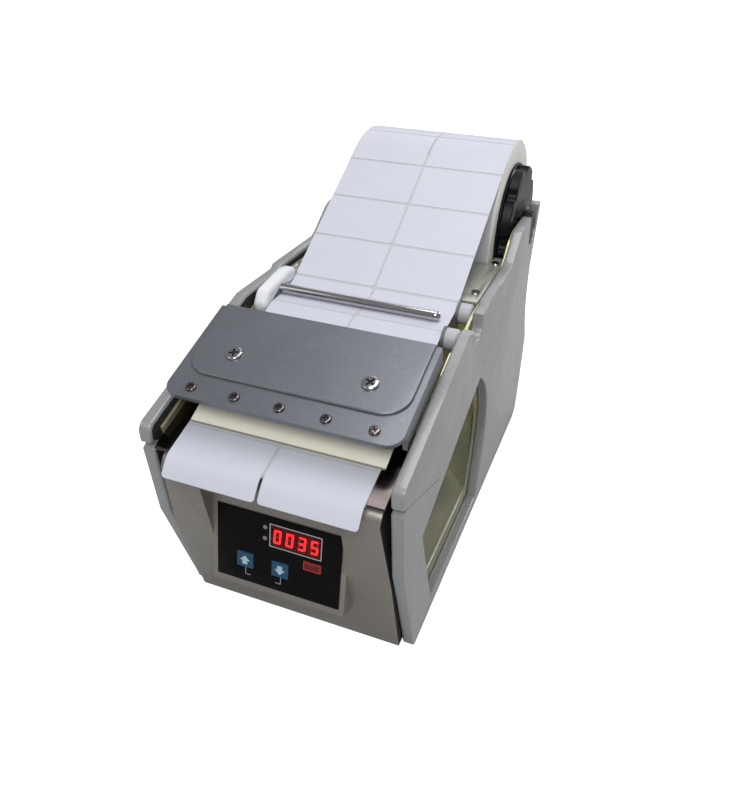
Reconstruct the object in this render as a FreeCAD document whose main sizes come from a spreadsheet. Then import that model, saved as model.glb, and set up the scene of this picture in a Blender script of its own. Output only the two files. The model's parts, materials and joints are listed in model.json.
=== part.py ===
import FreeCAD, Part
import math
import os
import Sketcher
from FreeCAD import Placement, Rotation, Vector

# Working axes: X to the right seen from the front, Y to the back, Z up, table at Z = 0 and Y = 0 at the
# toe of the side covers. Every sub-part is placed centre_y forward, so that the origin of the finished
# part lies under the middle of its length.

SIZES = {
    # overall
    "cover_wall": 6.5, "frame_wall": 1.5, "centre_y": 123.75, "gap": 0.3, "fit": 0.05,
    # side covers, seen from the side
    "floor_gap": 0.8, "toe_round": 6, "chin_y": -24, "chin_z": 76, "nose_y": -30, "nose_lip": 4.6,
    "slit_z": 118.9, "slit_y": -25.5, "nose_top_y": -26.5, "nose_rise": 10.8, "arm_end_y": 68,
    "arm_end_z": 163.7, "saddle_front": 75.5, "saddle_rear": 97, "saddle_z": 152, "step_y": 109,
    "step_z": 163.7, "deck_line_z": 166, "prong_foot_y": 165.1, "prong_neck_y": 172.9, "prong_neck_z": 168.4,
    "prong_hollow": 14, "prong_brow_y": 188.8, "prong_brow_z": 179.1, "prong_round": 20, "prong_tip_y": 200,
    "prong_lip_z": 182.5, "rear_prong_z": 185.5,
    "rear_prong_y": 251, "waist_y": 242, "waist_z": 141, "hip_y": 247, "hip_z": 109, "heel_y": 268.8,
    "heel_top_z": 72, "heel_low_z": 34, "sole_y": 258, "sole_round": 9, "window_round": 1,
    # windows of the side covers
    "window_floor": 9, "window_sill_y": 33, "window_tip_y": 5, "window_tip_z": 80, "window_knee_y": 17,
    "window_knee_z": 49, "window_top_y": 107, "window_top_z": 118, "window_back_y": 141,
    "window_back_z": 65, "window_heel_y": 133, "window_bend": 62, "frame_inset": 3, "frame_knee_z": 56,
    # roll and its slot
    "roll_y": 232, "roll_z": 171, "roll_radius": 56, "web_half": 51.6, "slot_half": 11.5, "core_radius": 20,
    "core_wall": 1.6, "spool_radius": 6, "disc_radius": 42, "disc_wall": 2, "hub_radius": 40.5,
    "hub_length": 6.4, "hub_play": 1, "journal_inset": 1, "plug_length": 12, "hub_lobes": 8, "lobe_bite": 6,
    # front housing
    "shell": 2.5, "housing_step": 3.7, "housing_foot_y": -4, "housing_foot_z": 5,
    "kink_y": -21.3, "kink_z": 64.3, "brow_y": -30.7, "brow_z": 110, "shelf_z": 118, "shelf_back_y": 4,
    # control panel
    "panel_y": -25.9, "panel_z": 43.9, "panel_lean": 8.64, "panel_half": 35.5, "panel_height": 44.2,
    "overlay": 0.6, "pod_half": 38.3, "pod_lower": 4.2, "recess_top": 48,
    "recess_brow_z": 102.2, "display_left": -4.2, "display_width": 28.1, "display_low": 27.1,
    "display_height": 12.4, "key_width": 9.6, "key_height": 9, "key_up_left": -23.3, "key_down_left": -2.9,
    "key_low": 9.4, "reset_left": 14.9, "reset_low": 18.9, "reset_width": 10.2, "reset_height": 5.4,
    "key_proud": 0.9, "key_travel": 0.5, "key_slack": 0.25, "lamp_left": -7.5, "lamp_low": 30.4,
    "lamp_pitch": 6.7, "lamp_radius": 1.2, "board_depth": 8, "board_wall": 1.6, "board_half": 31,
    "board_low": 4, "board_height": 38, "post_radius": 2.2,
    # top cover over the peeling head
    "lid_y": 41.9, "lid_z": 168.4, "lid_slope": 18.8, "lid_length": 64, "lid_wall": 2.5,
    "lid_round": 8, "skirt_depth": 13, "skirt_length": 55, "pillow_length": 48.8, "pillow_margin": 2.9,
    "pillow_round": 14, "pillow_rise": 1.5, "big_screw_run": 32.9, "pillar_gap": 1.2,
    "big_screw_radius": 4.4, "big_screw_shank": 2, "small_screw_run": 57.6, "small_screw_pitch": 24,
    "small_screw_radius": 2.7, "small_screw_shank": 1.25, "head_rise": 1.3, "bridge_depth": 17,
    "bridge_reach": 9, "film_inset": 0.6, "film_over": 2.2, "film_wall": 0.4, "film_foot": 18.2,
    "film_held": 4, "bar_wall": 3, "bar_width": 7, "bar_shift": 1, "sensor_width": 10,
    # web path
    "web_wall": 0.3, "tail_length": 22, "droop_y": -40.3, "droop_z": 114, "label_wall": 0.2,
    "label_margin": 0.1, "lane_gap": 3, "label_length": 30, "label_pitch": 33, "label_round": 2,
    "first_label": 19, "feed_label": 6, "peeled_rest": 16.1, "peel_y": -31, "peel_z": 123.2,
    "plate_wall": 2, "plate_end_y": 34, "shaft_radius": 3, "front_shaft_y": 79, "peel_slope": 17.6,
    "rear_shaft_y": 107, "rear_shaft_z": 157.7, "rod_y": 90.5, "rod_z": 161.1, "rod_radius": 3, "rod_inset": 5.1,
    "block_length": 8.8, "block_edge": 4, "block_floor": 3,
    "block_cap": 2.4, "collar_radius": 6, "collar_length": 7.3,
    "ring_wall": 1.5, "ring_radius": 6.6,
    # sheet metal inside
    "sheet": 1.5, "base_z": 3, "base_front_y": 8, "base_back_y": 254, "flange_height": 8,
    "bulkhead_y": 168, "bulkhead_bend_half": 38, "bulkhead_end_y": 144, "bulkhead_top_z": 150,
    "deck_z": 162, "deck_front_y": 115.5, "deck_cut_y": 175, "deck_clearance": 1.5, "deck_back_y": 190,
    "rear_wall_y": 250,
    "rear_wall_z": 66, "deck_screw_inset": 4.2, "deck_screw_front_y": 128, "deck_screw_back_y": 178,
    "deck_screw_head": 2.6, "deck_screw_shank": 1.3,
    # drive
    "drive_y": 33, "drive_z": 114, "drive_radius": 10, "drive_inset": 2.6, "drive_shaft_radius": 3,
    "pinch_y": 31.5, "pinch_radius": 5, "pinch_shaft_radius": 2, "bush_radius": 5, "gear_module": 1,
    "drive_teeth": 24, "idler_teeth": 26, "pinion_teeth": 14, "gear_inset": 2.4, "gear_width": 5.6,
    "gear_slack": 0.25, "motor_radius": 18.5, "motor_length": 46, "motor_box": 14, "motor_turn": 9.05,
    "motor_wall": 2,
    # electrics and feet
    "foot_radius": 8, "foot_front_y": 26, "foot_back_y": 236, "foot_inset": 23, "jack_x": 34, "jack_z": 30,
    "jack_radius": 5.5, "switch_x": -34, "switch_z": 32, "switch_width": 13, "switch_height": 19,
    "rocker_tilt": 7,
}

doc = FreeCAD.newDocument("label_dispenser")
sheet = doc.addObject("Spreadsheet::Sheet", "dims")
for row, (alias, number) in enumerate(SIZES.items(), 1):
    sheet.set("A%d" % row, alias)
    sheet.set("B%d" % row, str(number))
    sheet.setAlias("B%d" % row, alias)
doc.recompute()


class Size:
    """A length or number together with the formula in the sheet's cells that gives it."""

    def __init__(self, number, formula):
        self.number = float(number)
        self.formula = formula

    def join(self, other, sign, number, swap=False):
        other = other if isinstance(other, Size) else Size(other, repr(float(other)))
        first, second = (other, self) if swap else (self, other)
        return Size(number(first.number, second.number), "(%s %s %s)" % (first.formula, sign, second.formula))

    def __add__(self, other):
        return self.join(other, "+", lambda a, b: a + b)

    __radd__ = __add__

    def __sub__(self, other):
        return self.join(other, "-", lambda a, b: a - b)

    def __rsub__(self, other):
        return self.join(other, "-", lambda a, b: a - b, swap=True)

    def __mul__(self, other):
        return self.join(other, "*", lambda a, b: a * b)

    __rmul__ = __mul__

    def __truediv__(self, other):
        return self.join(other, "/", lambda a, b: a / b)

    def __neg__(self):
        return Size(-self.number, "(-%s)" % self.formula)

    def __float__(self):
        return self.number


class Cells:
    """Gives each cell of the sheet as a Size: d.roll_z is the cell with that alias."""

    def __getattr__(self, alias):
        return Size(sheet.get(alias), "dims.%s" % alias)


d = Cells()


def tangent(degrees):
    return Size(math.tan(math.radians(float(degrees))), "tan(%s * 1 deg)" % degrees.formula)


def sine(degrees):
    return Size(math.sin(math.radians(float(degrees))), "sin(%s * 1 deg)" % degrees.formula)


def cosine(degrees):
    return Size(math.cos(math.radians(float(degrees))), "cos(%s * 1 deg)" % degrees.formula)


def bind(obj, prop, size):
    if isinstance(size, Size):
        obj.setExpression(prop, size.formula)
    else:
        owner, _, name = prop.rpartition(".")
        if owner:
            raise ValueError("bind needs a size from the sheet: " + prop)
        setattr(obj, name, size)


# Planes that a sketch is drawn on. Each gives the body's origin plane that it lies on.
SIDE = "YZ_Plane"
FRONT = "XZ_Plane"
TOP = "XY_Plane"
nodes = []


def place(obj):
    """Puts a finished sub-part in the frame of the whole part."""
    bind(obj, "Placement.Base.y", Size(float(obj.Placement.Base.y), repr(obj.Placement.Base.y)) - d.centre_y)
    nodes.append(obj)
    return obj


def new_body(label, tilt=None, at=None):
    """A body in the working axes, or on a plane tilted about X by tilt degrees through (y, z)."""
    body = doc.addObject("PartDesign::Body", label)
    body.Label = label
    if tilt is None:
        bind(body, "Placement.Base.y", -d.centre_y)
    else:
        body.Placement = Placement(Vector(0, float(at[0]), float(at[1])), Rotation(Vector(1, 0, 0), float(tilt)))
        bind(body, "Placement.Rotation.Angle", tilt)
        bind(body, "Placement.Base.y", at[0] - d.centre_y)
        bind(body, "Placement.Base.z", at[1])
    nodes.append(body)
    return body


def new_sketch(body, plane, depth=0):
    """A sketch on one of the body's own origin planes, moved along the plane's normal by depth."""
    sketch = body.newObject("Sketcher::SketchObject", "outline")
    support = [face for face in body.Origin.OriginFeatures if face.Role == plane][0]
    sketch.AttachmentSupport = [(support, "")]
    sketch.MapMode = "FlatFace"
    if isinstance(depth, Size):
        bind(sketch, "AttachmentOffset.Base.z", depth)
    return sketch


def pin_down(sketch, index, position, point):
    """Ties a point of the sketch to the formulas of its two coordinates."""
    for kind, size in (("DistanceX", point[0]), ("DistanceY", point[1])):
        if isinstance(size, Size):
            number = sketch.addConstraint(Sketcher.Constraint(kind, -1, 1, index, position, float(size)))
            sketch.setExpression("Constraints[%d]" % number, size.formula)
        else:
            sketch.addConstraint(Sketcher.Constraint(kind, -1, 1, index, position, float(size)))


def arc_between(start, end, bend):
    """An arc of radius abs(bend) between two points: to the left of the way for a positive bend."""
    first, last, radius = Vector(*start, 0), Vector(*end, 0), abs(bend)
    chord = last - first
    side = Vector(-chord.y, chord.x, 0).normalize()
    rise = math.sqrt(max(radius ** 2 - (chord.Length / 2) ** 2, 0))
    centre = (first + last) * 0.5 + side * (rise if bend > 0 else -rise)
    if bend < 0:
        first, last = last, first
    angles = [math.atan2(point.y - centre.y, point.x - centre.x) for point in (first, last)]
    return Part.ArcOfCircle(Part.Circle(centre, Vector(0, 0, 1), radius), *angles)


def draw(sketch, points):
    """Closes an outline through the points (u, v) or (u, v, bend). A bend is the radius of the arc that
    reaches the point, positive where the outline turns left, and its formula is tied to the arc."""
    ends = []
    for index, point in enumerate(points):
        start = [float(size) for size in points[index - 1][:2]]
        end = [float(size) for size in point[:2]]
        if len(point) == 3:
            arc = arc_between(start, end, float(point[2]))
            number = sketch.addGeometry(arc)
            ends.append((number, 2, 1) if float(point[2]) > 0 else (number, 1, 2))
        else:
            number = sketch.addGeometry(Part.LineSegment(Vector(*start, 0), Vector(*end, 0)))
            ends.append((number, 2, 1))
    for index, point in enumerate(points):
        number, finish, begin = ends[index]
        following = ends[(index + 1) % len(points)]
        sketch.addConstraint(Sketcher.Constraint("Coincident", number, finish, following[0], following[2]))
        pin_down(sketch, number, finish, point[:2])
        if len(point) == 3:
            size = point[2] if float(point[2]) > 0 else -point[2]
            tied = sketch.addConstraint(Sketcher.Constraint("Radius", number, float(size)))
            sketch.setExpression("Constraints[%d]" % tied, size.formula)
    return sketch


def draw_circle(sketch, at, radius):
    number = sketch.addGeometry(Part.Circle(Vector(float(at[0]), float(at[1]), 0), Vector(0, 0, 1), float(radius)))
    pin_down(sketch, number, 3, at)
    tied = sketch.addConstraint(Sketcher.Constraint("Radius", number, float(radius)))
    sketch.setExpression("Constraints[%d]" % tied, radius.formula)
    return sketch


def box_outline(left, right, low, high):
    return [(left, low), (right, low), (right, high), (left, high)]


def extrude(body, sketch, length, kind="Pad", both=False, back=False):
    """Pads or pockets a sketch along its plane's normal, against it with back, or evenly with both."""
    feature = body.newObject("PartDesign::" + kind, kind.lower())
    feature.Profile = sketch
    bind(feature, "Length", length)
    if both:
        feature.Midplane = True
    feature.Reversed = back
    sketch.Visibility = False
    body.Tip = feature
    return feature


def slab(body, plane, depth, points, length, **how):
    return extrude(body, draw(new_sketch(body, plane, depth), points), length, **how)


def pin(body, plane, depth, at, radius, length, **how):
    return extrude(body, draw_circle(new_sketch(body, plane, depth), at, radius), length, **how)


def spin(body, sketch, axis, kind="Revolution"):
    """Turns a sketch a full turn about one of its own axes."""
    feature = body.newObject("PartDesign::" + kind, kind.lower())
    feature.Profile = sketch
    feature.ReferenceAxis = (sketch, [axis])
    feature.Angle = 360
    body.Tip = feature
    return feature


def turned(label, *rounds):
    """Pieces turned about X axes, each given by its centre (y, z) and its profile of (x, radius) points."""
    body = new_body(label)
    for centre, profile in rounds:
        sketch = new_sketch(body, FRONT, -centre[0])
        bind(sketch, "AttachmentOffset.Base.y", centre[1])
        draw(sketch, profile)
        spin(body, sketch, "H_Axis")
    return body


def tube_profile(left, right, outer, inner=None):
    inner = Size(0, "0") if inner is None else inner
    return [(left, inner), (right, inner), (right, outer), (left, outer)]


def round_off(body, radius, chosen, kind="Fillet"):
    """Rounds or bevels the edges of the body's last shape for which chosen(edge) is true."""
    doc.recompute()
    tip = body.Tip
    names = ["Edge%d" % number for number, edge in enumerate(tip.Shape.Edges, 1) if chosen(edge)]
    if not names:
        raise ValueError("no edge to round on " + body.Label)
    feature = body.newObject("PartDesign::" + kind, kind.lower())
    feature.Base = (tip, names)
    bind(feature, "Radius" if kind == "Fillet" else "Size", radius)
    body.Tip = feature
    return feature


def mirrored_x(body, features):
    """Repeats features on the other side of the machine's middle plane."""
    mirror = body.newObject("PartDesign::Mirrored", "other_side")
    mirror.Originals = features
    plane = [face for face in body.Origin.OriginFeatures if face.Role == SIDE][0]
    mirror.MirrorPlane = (plane, [""])
    body.Tip = mirror
    return mirror


def ribbon(points, wall):
    """The outline of a strip of even thickness that lies on the line through the points, on its left."""
    inner = [Vector(float(point[0]), float(point[1]), 0) for point in points]
    outer = []
    for index, point in enumerate(inner):
        ways = []
        if index:
            ways.append((point - inner[index - 1]).normalize())
        if index < len(inner) - 1:
            ways.append((inner[index + 1] - point).normalize())
        mean = sum(ways, Vector()).normalize()
        side = Vector(-mean.y, mean.x, 0)
        outer.append(point + side * (float(wall) / max(mean.dot(ways[0]), 0.5)))
    return [(point.x, point.y) for point in inner + outer[::-1]]


def strip(label, points, wall, left, right):
    """A piece of sheet or film across the machine from left to right, with its section from ribbon."""
    body = new_body(label)
    section = [(Size(u, repr(u)), Size(v, repr(v))) for u, v in ribbon(points, wall)]
    slab(body, SIDE, left, section, right - left)
    return body


# Heights of the nose of the covers, and half widths across the machine from the web outwards.
nose_z = d.slit_z + d.nose_lip
nose_top_z = nose_z + d.nose_rise
label_half = (d.web_half - d.label_margin - d.lane_gap / 2) / 2
lane_half = d.lane_gap / 2 + label_half
big_screw_half = lane_half + d.sensor_width / 2 + d.big_screw_shank * 2 + d.pillar_gap
drive_half = d.web_half - d.drive_inset
frame_half = d.web_half + d.disc_wall + d.hub_length + d.hub_play
inner_half = frame_half + d.frame_wall
cover_half = inner_half + d.cover_wall
inside_half = frame_half - d.gap
housing_half = inner_half - d.gap
housing_top_half = housing_half - d.housing_step
lid_half = inner_half - d.gap * 2
pillow_half = lid_half - d.pillow_margin
gear_left = d.gear_inset - frame_half
gear_right = gear_left + d.gear_width
peel_centre = (d.peel_y + d.plate_wall / 2, d.peel_z - d.plate_wall / 2)
pinch_z = d.drive_z + d.drive_radius + d.gap * 2 + d.web_wall + d.pinch_radius


def over_edge(y, rise):
    """Height at y of the line that runs at the web's slope, rise above the middle of the peel plate."""
    return peel_centre[1] + (y - peel_centre[0]) * tangent(d.peel_slope) + rise / cosine(d.peel_slope)


front_shaft_z = over_edge(d.front_shaft_y, d.plate_wall / 2 - d.shaft_radius)


def window_outline(grow):
    """The D-shaped window of a side cover, grown all round by grow."""
    return [(d.window_sill_y - grow, d.window_floor - grow), (d.window_heel_y + grow, d.window_floor - grow),
            (d.window_back_y + grow, d.window_back_z, d.window_bend * 3),
            (d.window_top_y + grow, d.window_top_z + grow, d.window_bend),
            (d.window_tip_y - grow, d.window_tip_z + grow), (d.window_knee_y - grow, d.window_knee_z),
            ]


def cover_outline(saddle):
    """The side cover from its sole over the heel, the two prongs and the arm to the nose and the chin."""
    slot_front = d.roll_y - d.slot_half
    slot_rear = d.roll_y + d.slot_half
    points = [
        (d.sole_y, d.floor_gap),
        (d.sole_y + d.sole_round, d.floor_gap + d.sole_round, d.sole_round),
        (d.heel_y, d.heel_low_z),
        (d.heel_y - 1.5, d.heel_top_z),
        (d.hip_y, d.hip_z, d.slot_half * -14),
        (d.waist_y, d.waist_z, d.slot_half * -10),
        (d.rear_prong_y + 1, d.rear_prong_z - 4),
        (d.rear_prong_y - 3, d.rear_prong_z, d.sole_round * 0.45),
        (slot_rear + 2, d.rear_prong_z),
        (slot_rear, d.rear_prong_z - 2, d.sole_round * 0.23),
        (slot_rear, d.roll_z),
        (d.roll_y, d.roll_z - d.slot_half, -d.slot_half),
        (slot_front, d.roll_z, -d.slot_half),
        (slot_front, d.prong_lip_z - 2),
        (slot_front - 2, d.prong_lip_z, d.sole_round * 0.23),
        (d.prong_tip_y, d.prong_lip_z),
        (d.prong_brow_y, d.prong_brow_z, d.prong_round),
        (d.prong_neck_y, d.prong_neck_z),
        (d.prong_foot_y, d.deck_line_z, -d.prong_hollow),
        (d.step_y + 3, d.deck_line_z),
        (d.step_y, d.step_z),
    ]
    if saddle:
        points += [(d.saddle_rear, d.step_z), (d.saddle_rear, d.saddle_z + 6),
                   (d.saddle_rear - 6, d.saddle_z, -d.toe_round), (d.saddle_front + 6, d.saddle_z),
                   (d.saddle_front, d.saddle_z + 6, -d.toe_round), (d.saddle_front, d.arm_end_z)]
    points += [
        (d.arm_end_y, d.arm_end_z),
        (d.nose_top_y, nose_top_z),
        (d.nose_y - 0.3, nose_top_z - d.toe_round * 0.8, d.toe_round),
        (d.nose_y, nose_z),
        (d.slit_y, (nose_z + d.slit_z) / 2),
        (d.nose_y + 0.6, d.slit_z),
        (d.chin_y, d.chin_z),
        (d.toe_round * 0, d.floor_gap + d.toe_round),
        (d.toe_round, d.floor_gap, d.toe_round),
    ]
    return points


def flat_at(x):
    """Chooses edges that lie in the plane at x."""
    def chosen(edge):
        box = edge.BoundBox
        return abs(box.XMin - x) < 0.001 and abs(box.XMax - x) < 0.001
    return chosen


def side_cover(label, side):
    """A moulded side cover with rounded outer edges and its window."""
    body = new_body(label)
    start = inner_half if side > 0 else -cover_half
    slab(body, SIDE, start, cover_outline(side > 0), d.cover_wall)
    slab(body, SIDE, start, window_outline(d.fit * 0), d.cover_wall, kind="Pocket", back=True)
    outer_face = flat_at(side * float(cover_half))
    round_off(body, d.window_round, lambda edge: outer_face(edge) and inside_window(edge))
    return body


def frame_plate(label, side):
    """The zinc plate inside a cover: it carries the shafts, the rollers and the ends of the spool."""
    body = new_body(label)
    start = frame_half if side > 0 else -inner_half
    slope = tangent(d.lid_slope)
    rest_y = d.lid_y + d.bridge_depth * sine(d.lid_slope)
    rest_z = d.lid_z - d.bridge_depth * cosine(d.lid_slope)
    front_y = d.nose_y + 8
    rear_y = d.arm_end_y - 8
    slot_front = d.roll_y - d.slot_half
    slot_rear = d.roll_y + d.slot_half
    shoulder = d.deck_line_z - d.frame_inset - 2
    outline = [
        (d.base_back_y, d.base_z), (d.heel_y - 6, d.heel_low_z), (d.heel_y - 8, d.heel_top_z),
        (d.hip_y - 3, d.hip_z), (d.waist_y - 3, d.waist_z), (d.rear_prong_y - 3, d.rear_prong_z - 5),
        (slot_rear, d.rear_prong_z - 5), (slot_rear, d.roll_z),
        (d.roll_y, d.roll_z - d.slot_half, -d.slot_half), (slot_front, d.roll_z, -d.slot_half),
        (slot_front, d.prong_lip_z - 4), (d.prong_tip_y, d.prong_lip_z - 4),
        (d.prong_brow_y, d.prong_brow_z - 4), (d.prong_neck_y, shoulder), (d.rear_shaft_y - 1, shoulder),
        (rear_y + 6, rest_z + (rear_y - rest_y) * slope - 4), (rear_y, rest_z + (rear_y - rest_y) * slope),
        (front_y, rest_z + (front_y - rest_y) * slope), (front_y + 3, d.shelf_z + 1),
        (d.shelf_back_y + 1, d.shelf_z + 1), (d.shelf_back_y + 1, d.frame_knee_z), (d.base_front_y, d.base_z),
    ]
    slab(body, SIDE, start, outline, d.frame_wall)
    slab(body, SIDE, start, window_outline(d.frame_inset * -1), d.frame_wall, kind="Pocket", back=True)
    holes = [(d.front_shaft_y, front_shaft_z, d.shaft_radius), (d.rear_shaft_y, d.rear_shaft_z, d.shaft_radius),
             (d.drive_y, d.drive_z, d.bush_radius), (d.pinch_y, pinch_z, d.pinch_shaft_radius)]
    for y, z, radius in holes:
        pin(body, SIDE, start, (y, z), radius + d.fit, d.frame_wall, kind="Pocket", back=True)
    return body


def inside_window(edge):
    centre = edge.CenterOfMass
    deep = float(d.window_tip_y) - 0.1 < centre.y < float(d.window_back_y) + 5
    return deep and float(d.window_floor) - 0.1 < centre.z < float(d.window_top_z) + 0.1


def front_housing():
    """The moulded front: a hollow shell with the wedge pod of the panel, its recess and the key holes."""
    body = new_body("front_housing")
    slope = (d.brow_y - d.kink_y) / (d.brow_z - d.kink_z)
    lean = tangent(d.panel_lean)
    slab(body, SIDE, None, [
        (d.shelf_back_y, d.housing_foot_z), (d.shelf_back_y, d.shelf_z), (d.brow_y + d.toe_round, d.shelf_z),
        (d.brow_y, d.brow_z, d.toe_round * 1.45), (d.kink_y, d.kink_z),
        (d.housing_foot_y, d.housing_foot_z)], housing_half * 2, both=True)

    def panel_line(z, behind):
        return (d.panel_y + (z - d.panel_z) * lean + behind / cosine(d.panel_lean), z)

    pod_low = d.panel_z - d.pod_lower
    pod_back = d.housing_foot_y - 2 + (pod_low - d.housing_foot_z) * ((d.kink_y - d.housing_foot_y) /
                                                                      (d.kink_z - d.housing_foot_z))
    slab(body, SIDE, None, [
        panel_line(pod_low, d.overlay), panel_line(d.kink_z + 2, d.overlay), (d.kink_y + d.shell, d.kink_z + 2),
        (pod_back + 4, pod_low - 3), (pod_back, pod_low - 3)], d.pod_half * 2, both=True)
    recess_top = d.panel_z + d.recess_top
    slab(body, SIDE, None, [
        panel_line(d.kink_z - 8, d.overlay), panel_line(recess_top, d.overlay),
        (d.brow_y + 1.7, d.recess_brow_z), (d.brow_y - 9, d.recess_brow_z),
        (d.brow_y - 9, d.kink_z - 8)], d.pod_half * 2, kind="Pocket", both=True)
    wall = d.shell
    slab(body, SIDE, None, [
        (d.shelf_back_y + 1, d.housing_foot_z + wall), (d.shelf_back_y + 1, d.shelf_z - wall),
        (d.brow_y + wall + 3, d.shelf_z - wall), (d.brow_y + wall + 0.4, recess_top + wall * 4.4),
        panel_line(recess_top + wall * 1.2, wall + d.overlay), panel_line(d.kink_z, wall + d.overlay),
        (d.kink_y + wall + 1, d.kink_z - 6), (d.housing_foot_y + wall, d.housing_foot_z + wall),
    ], (d.pod_half + wall * 0.6) * 2, kind="Pocket", both=True)
    slab(body, SIDE, None, [
        panel_line(d.kink_z + 1, wall + d.overlay), panel_line(pod_low + wall, wall + d.overlay),
        (pod_back + wall * 2, pod_low + wall), (d.kink_y + wall * 2, d.kink_z + 1)],
        (d.pod_half - wall) * 2, kind="Pocket", both=True)
    panel_openings(body, lambda: tilted_sketch(body, d.shell), d.shell * 3)
    side_room = slab(body, SIDE, d.pod_half + wall * 1.6, [
        (d.shelf_back_y + 1, d.housing_foot_z + wall), (d.shelf_back_y + 1, d.shelf_z - wall),
        (d.brow_y + wall + 4, d.shelf_z - wall), (d.brow_y + wall + 0.6, d.brow_z),
        (d.kink_y + wall + 0.2, d.kink_z), (d.housing_foot_y + wall, d.housing_foot_z + wall),
    ], housing_top_half - d.pod_half - wall * 2.6, kind="Pocket", back=True)
    gap_cut = slab(body, FRONT, -d.shelf_back_y - 1, [
        (housing_half + 1, d.kink_z), (housing_half + 1, d.shelf_z + 1), (housing_top_half, d.shelf_z + 1),
        (housing_top_half, d.brow_z), (housing_half, d.kink_z)], d.shelf_back_y - d.brow_y + 9,
        kind="Pocket", back=True)
    mirrored_x(body, [side_room, gap_cut])
    return body


def on_panel(label):
    """A body drawn on the leaning panel: its X is across, its Y up the panel, its Z out of it."""
    return new_body(label, tilt=90 - d.panel_lean, at=(d.panel_y, d.panel_z))


KEYS = {
    "up_key": (d.key_up_left, d.key_low, d.key_width, d.key_height),
    "down_key": (d.key_down_left, d.key_low, d.key_width, d.key_height),
    "reset_key": (d.reset_left, d.reset_low, d.reset_width, d.reset_height),
}


def key_outline(name, grow):
    left, low, width, height = KEYS[name]
    return box_outline(left - grow, left + width + grow, low - grow, low + height + grow)


def tilted_sketch(body, depth):
    """A sketch parallel to the control panel, depth in front of it, in a body of the working axes."""
    sketch = new_sketch(body, TOP)
    upright = 90 - d.panel_lean
    sketch.AttachmentOffset = Placement(Vector(), Rotation(Vector(1, 0, 0), float(upright)))
    bind(sketch, "AttachmentOffset.Base.y", d.panel_y - depth * cosine(d.panel_lean))
    bind(sketch, "AttachmentOffset.Base.z", d.panel_z + depth * sine(d.panel_lean))
    bind(sketch, "AttachmentOffset.Rotation.Angle", upright)
    return sketch


def panel_openings(body, sketch_at, length):
    """Cuts what the panel's display, lamps and keys need, from sketches that sketch_at makes."""
    cuts = [box_outline(d.display_left - d.fit, d.display_left + d.display_width + d.fit,
                        d.display_low - d.fit, d.display_low + d.display_height + d.fit)]
    cuts += [key_outline(name, d.key_slack) for name in KEYS]
    for outline in cuts:
        extrude(body, draw(sketch_at(), outline), length, kind="Pocket")
    for index in range(2):
        lamp = (d.lamp_left, d.lamp_low + d.lamp_pitch * index)
        extrude(body, draw_circle(sketch_at(), lamp, d.lamp_radius + d.fit), length, kind="Pocket")


def panel_pieces():
    overlay = on_panel("control_panel")
    slab(overlay, TOP, -d.overlay, box_outline(-d.panel_half, d.panel_half, d.fit * 0, d.panel_height), d.overlay)
    panel_openings(overlay, lambda: new_sketch(overlay, TOP), d.overlay * 2)
    window = on_panel("display_window")
    slab(window, TOP, -d.overlay * 2, box_outline(d.display_left, d.display_left + d.display_width,
                                                  d.display_low, d.display_low + d.display_height), d.overlay * 2)
    module = on_panel("digit_display")
    face = box_outline(d.display_left + 0.8, d.display_left + d.display_width - 0.8,
                       d.display_low + 0.5, d.display_low + d.display_height - 0.5)
    slab(module, TOP, -d.board_depth, face, d.board_depth - d.overlay * 2)
    lamps = on_panel("indicator_lamps")
    for index in range(2):
        at = (d.lamp_left, d.lamp_low + d.lamp_pitch * index)
        pin(lamps, TOP, -d.board_depth, at, d.lamp_radius, d.board_depth)
    board = on_panel("circuit_board")
    slab(board, TOP, -d.board_depth - d.board_wall, box_outline(-d.board_half, d.board_half, d.board_low,
                                                                d.board_low + d.board_height), d.board_wall)
    for index, name in enumerate(KEYS):
        left, low, width, height = KEYS[name]
        switch = (left + width / 2, low + height / 2)
        pin(board, TOP, -d.board_depth, switch, d.post_radius,
            d.board_depth - d.overlay - d.shell + d.gap - d.fit * 2)
        key = on_panel(name)
        slab(key, TOP, -d.overlay - d.shell + d.gap + d.key_travel, key_outline(name, d.fit * 0),
             d.overlay + d.shell + d.key_proud - d.gap - d.key_travel)
        round_off(key, d.key_proud * 0.4, top_edges)


def top_edges(edge):
    """Chooses the edges of the highest face of a body that has only that face up there."""
    box = edge.BoundBox
    return box.ZMax - box.ZMin < 0.001 and abs(box.ZMax - float(d.key_proud)) < 0.01


def on_lid(label):
    """A body drawn on the sloping top of the cover: its Y runs up the slope, its Z out of it."""
    return new_body(label, tilt=d.lid_slope, at=(d.lid_y, d.lid_z))


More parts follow.
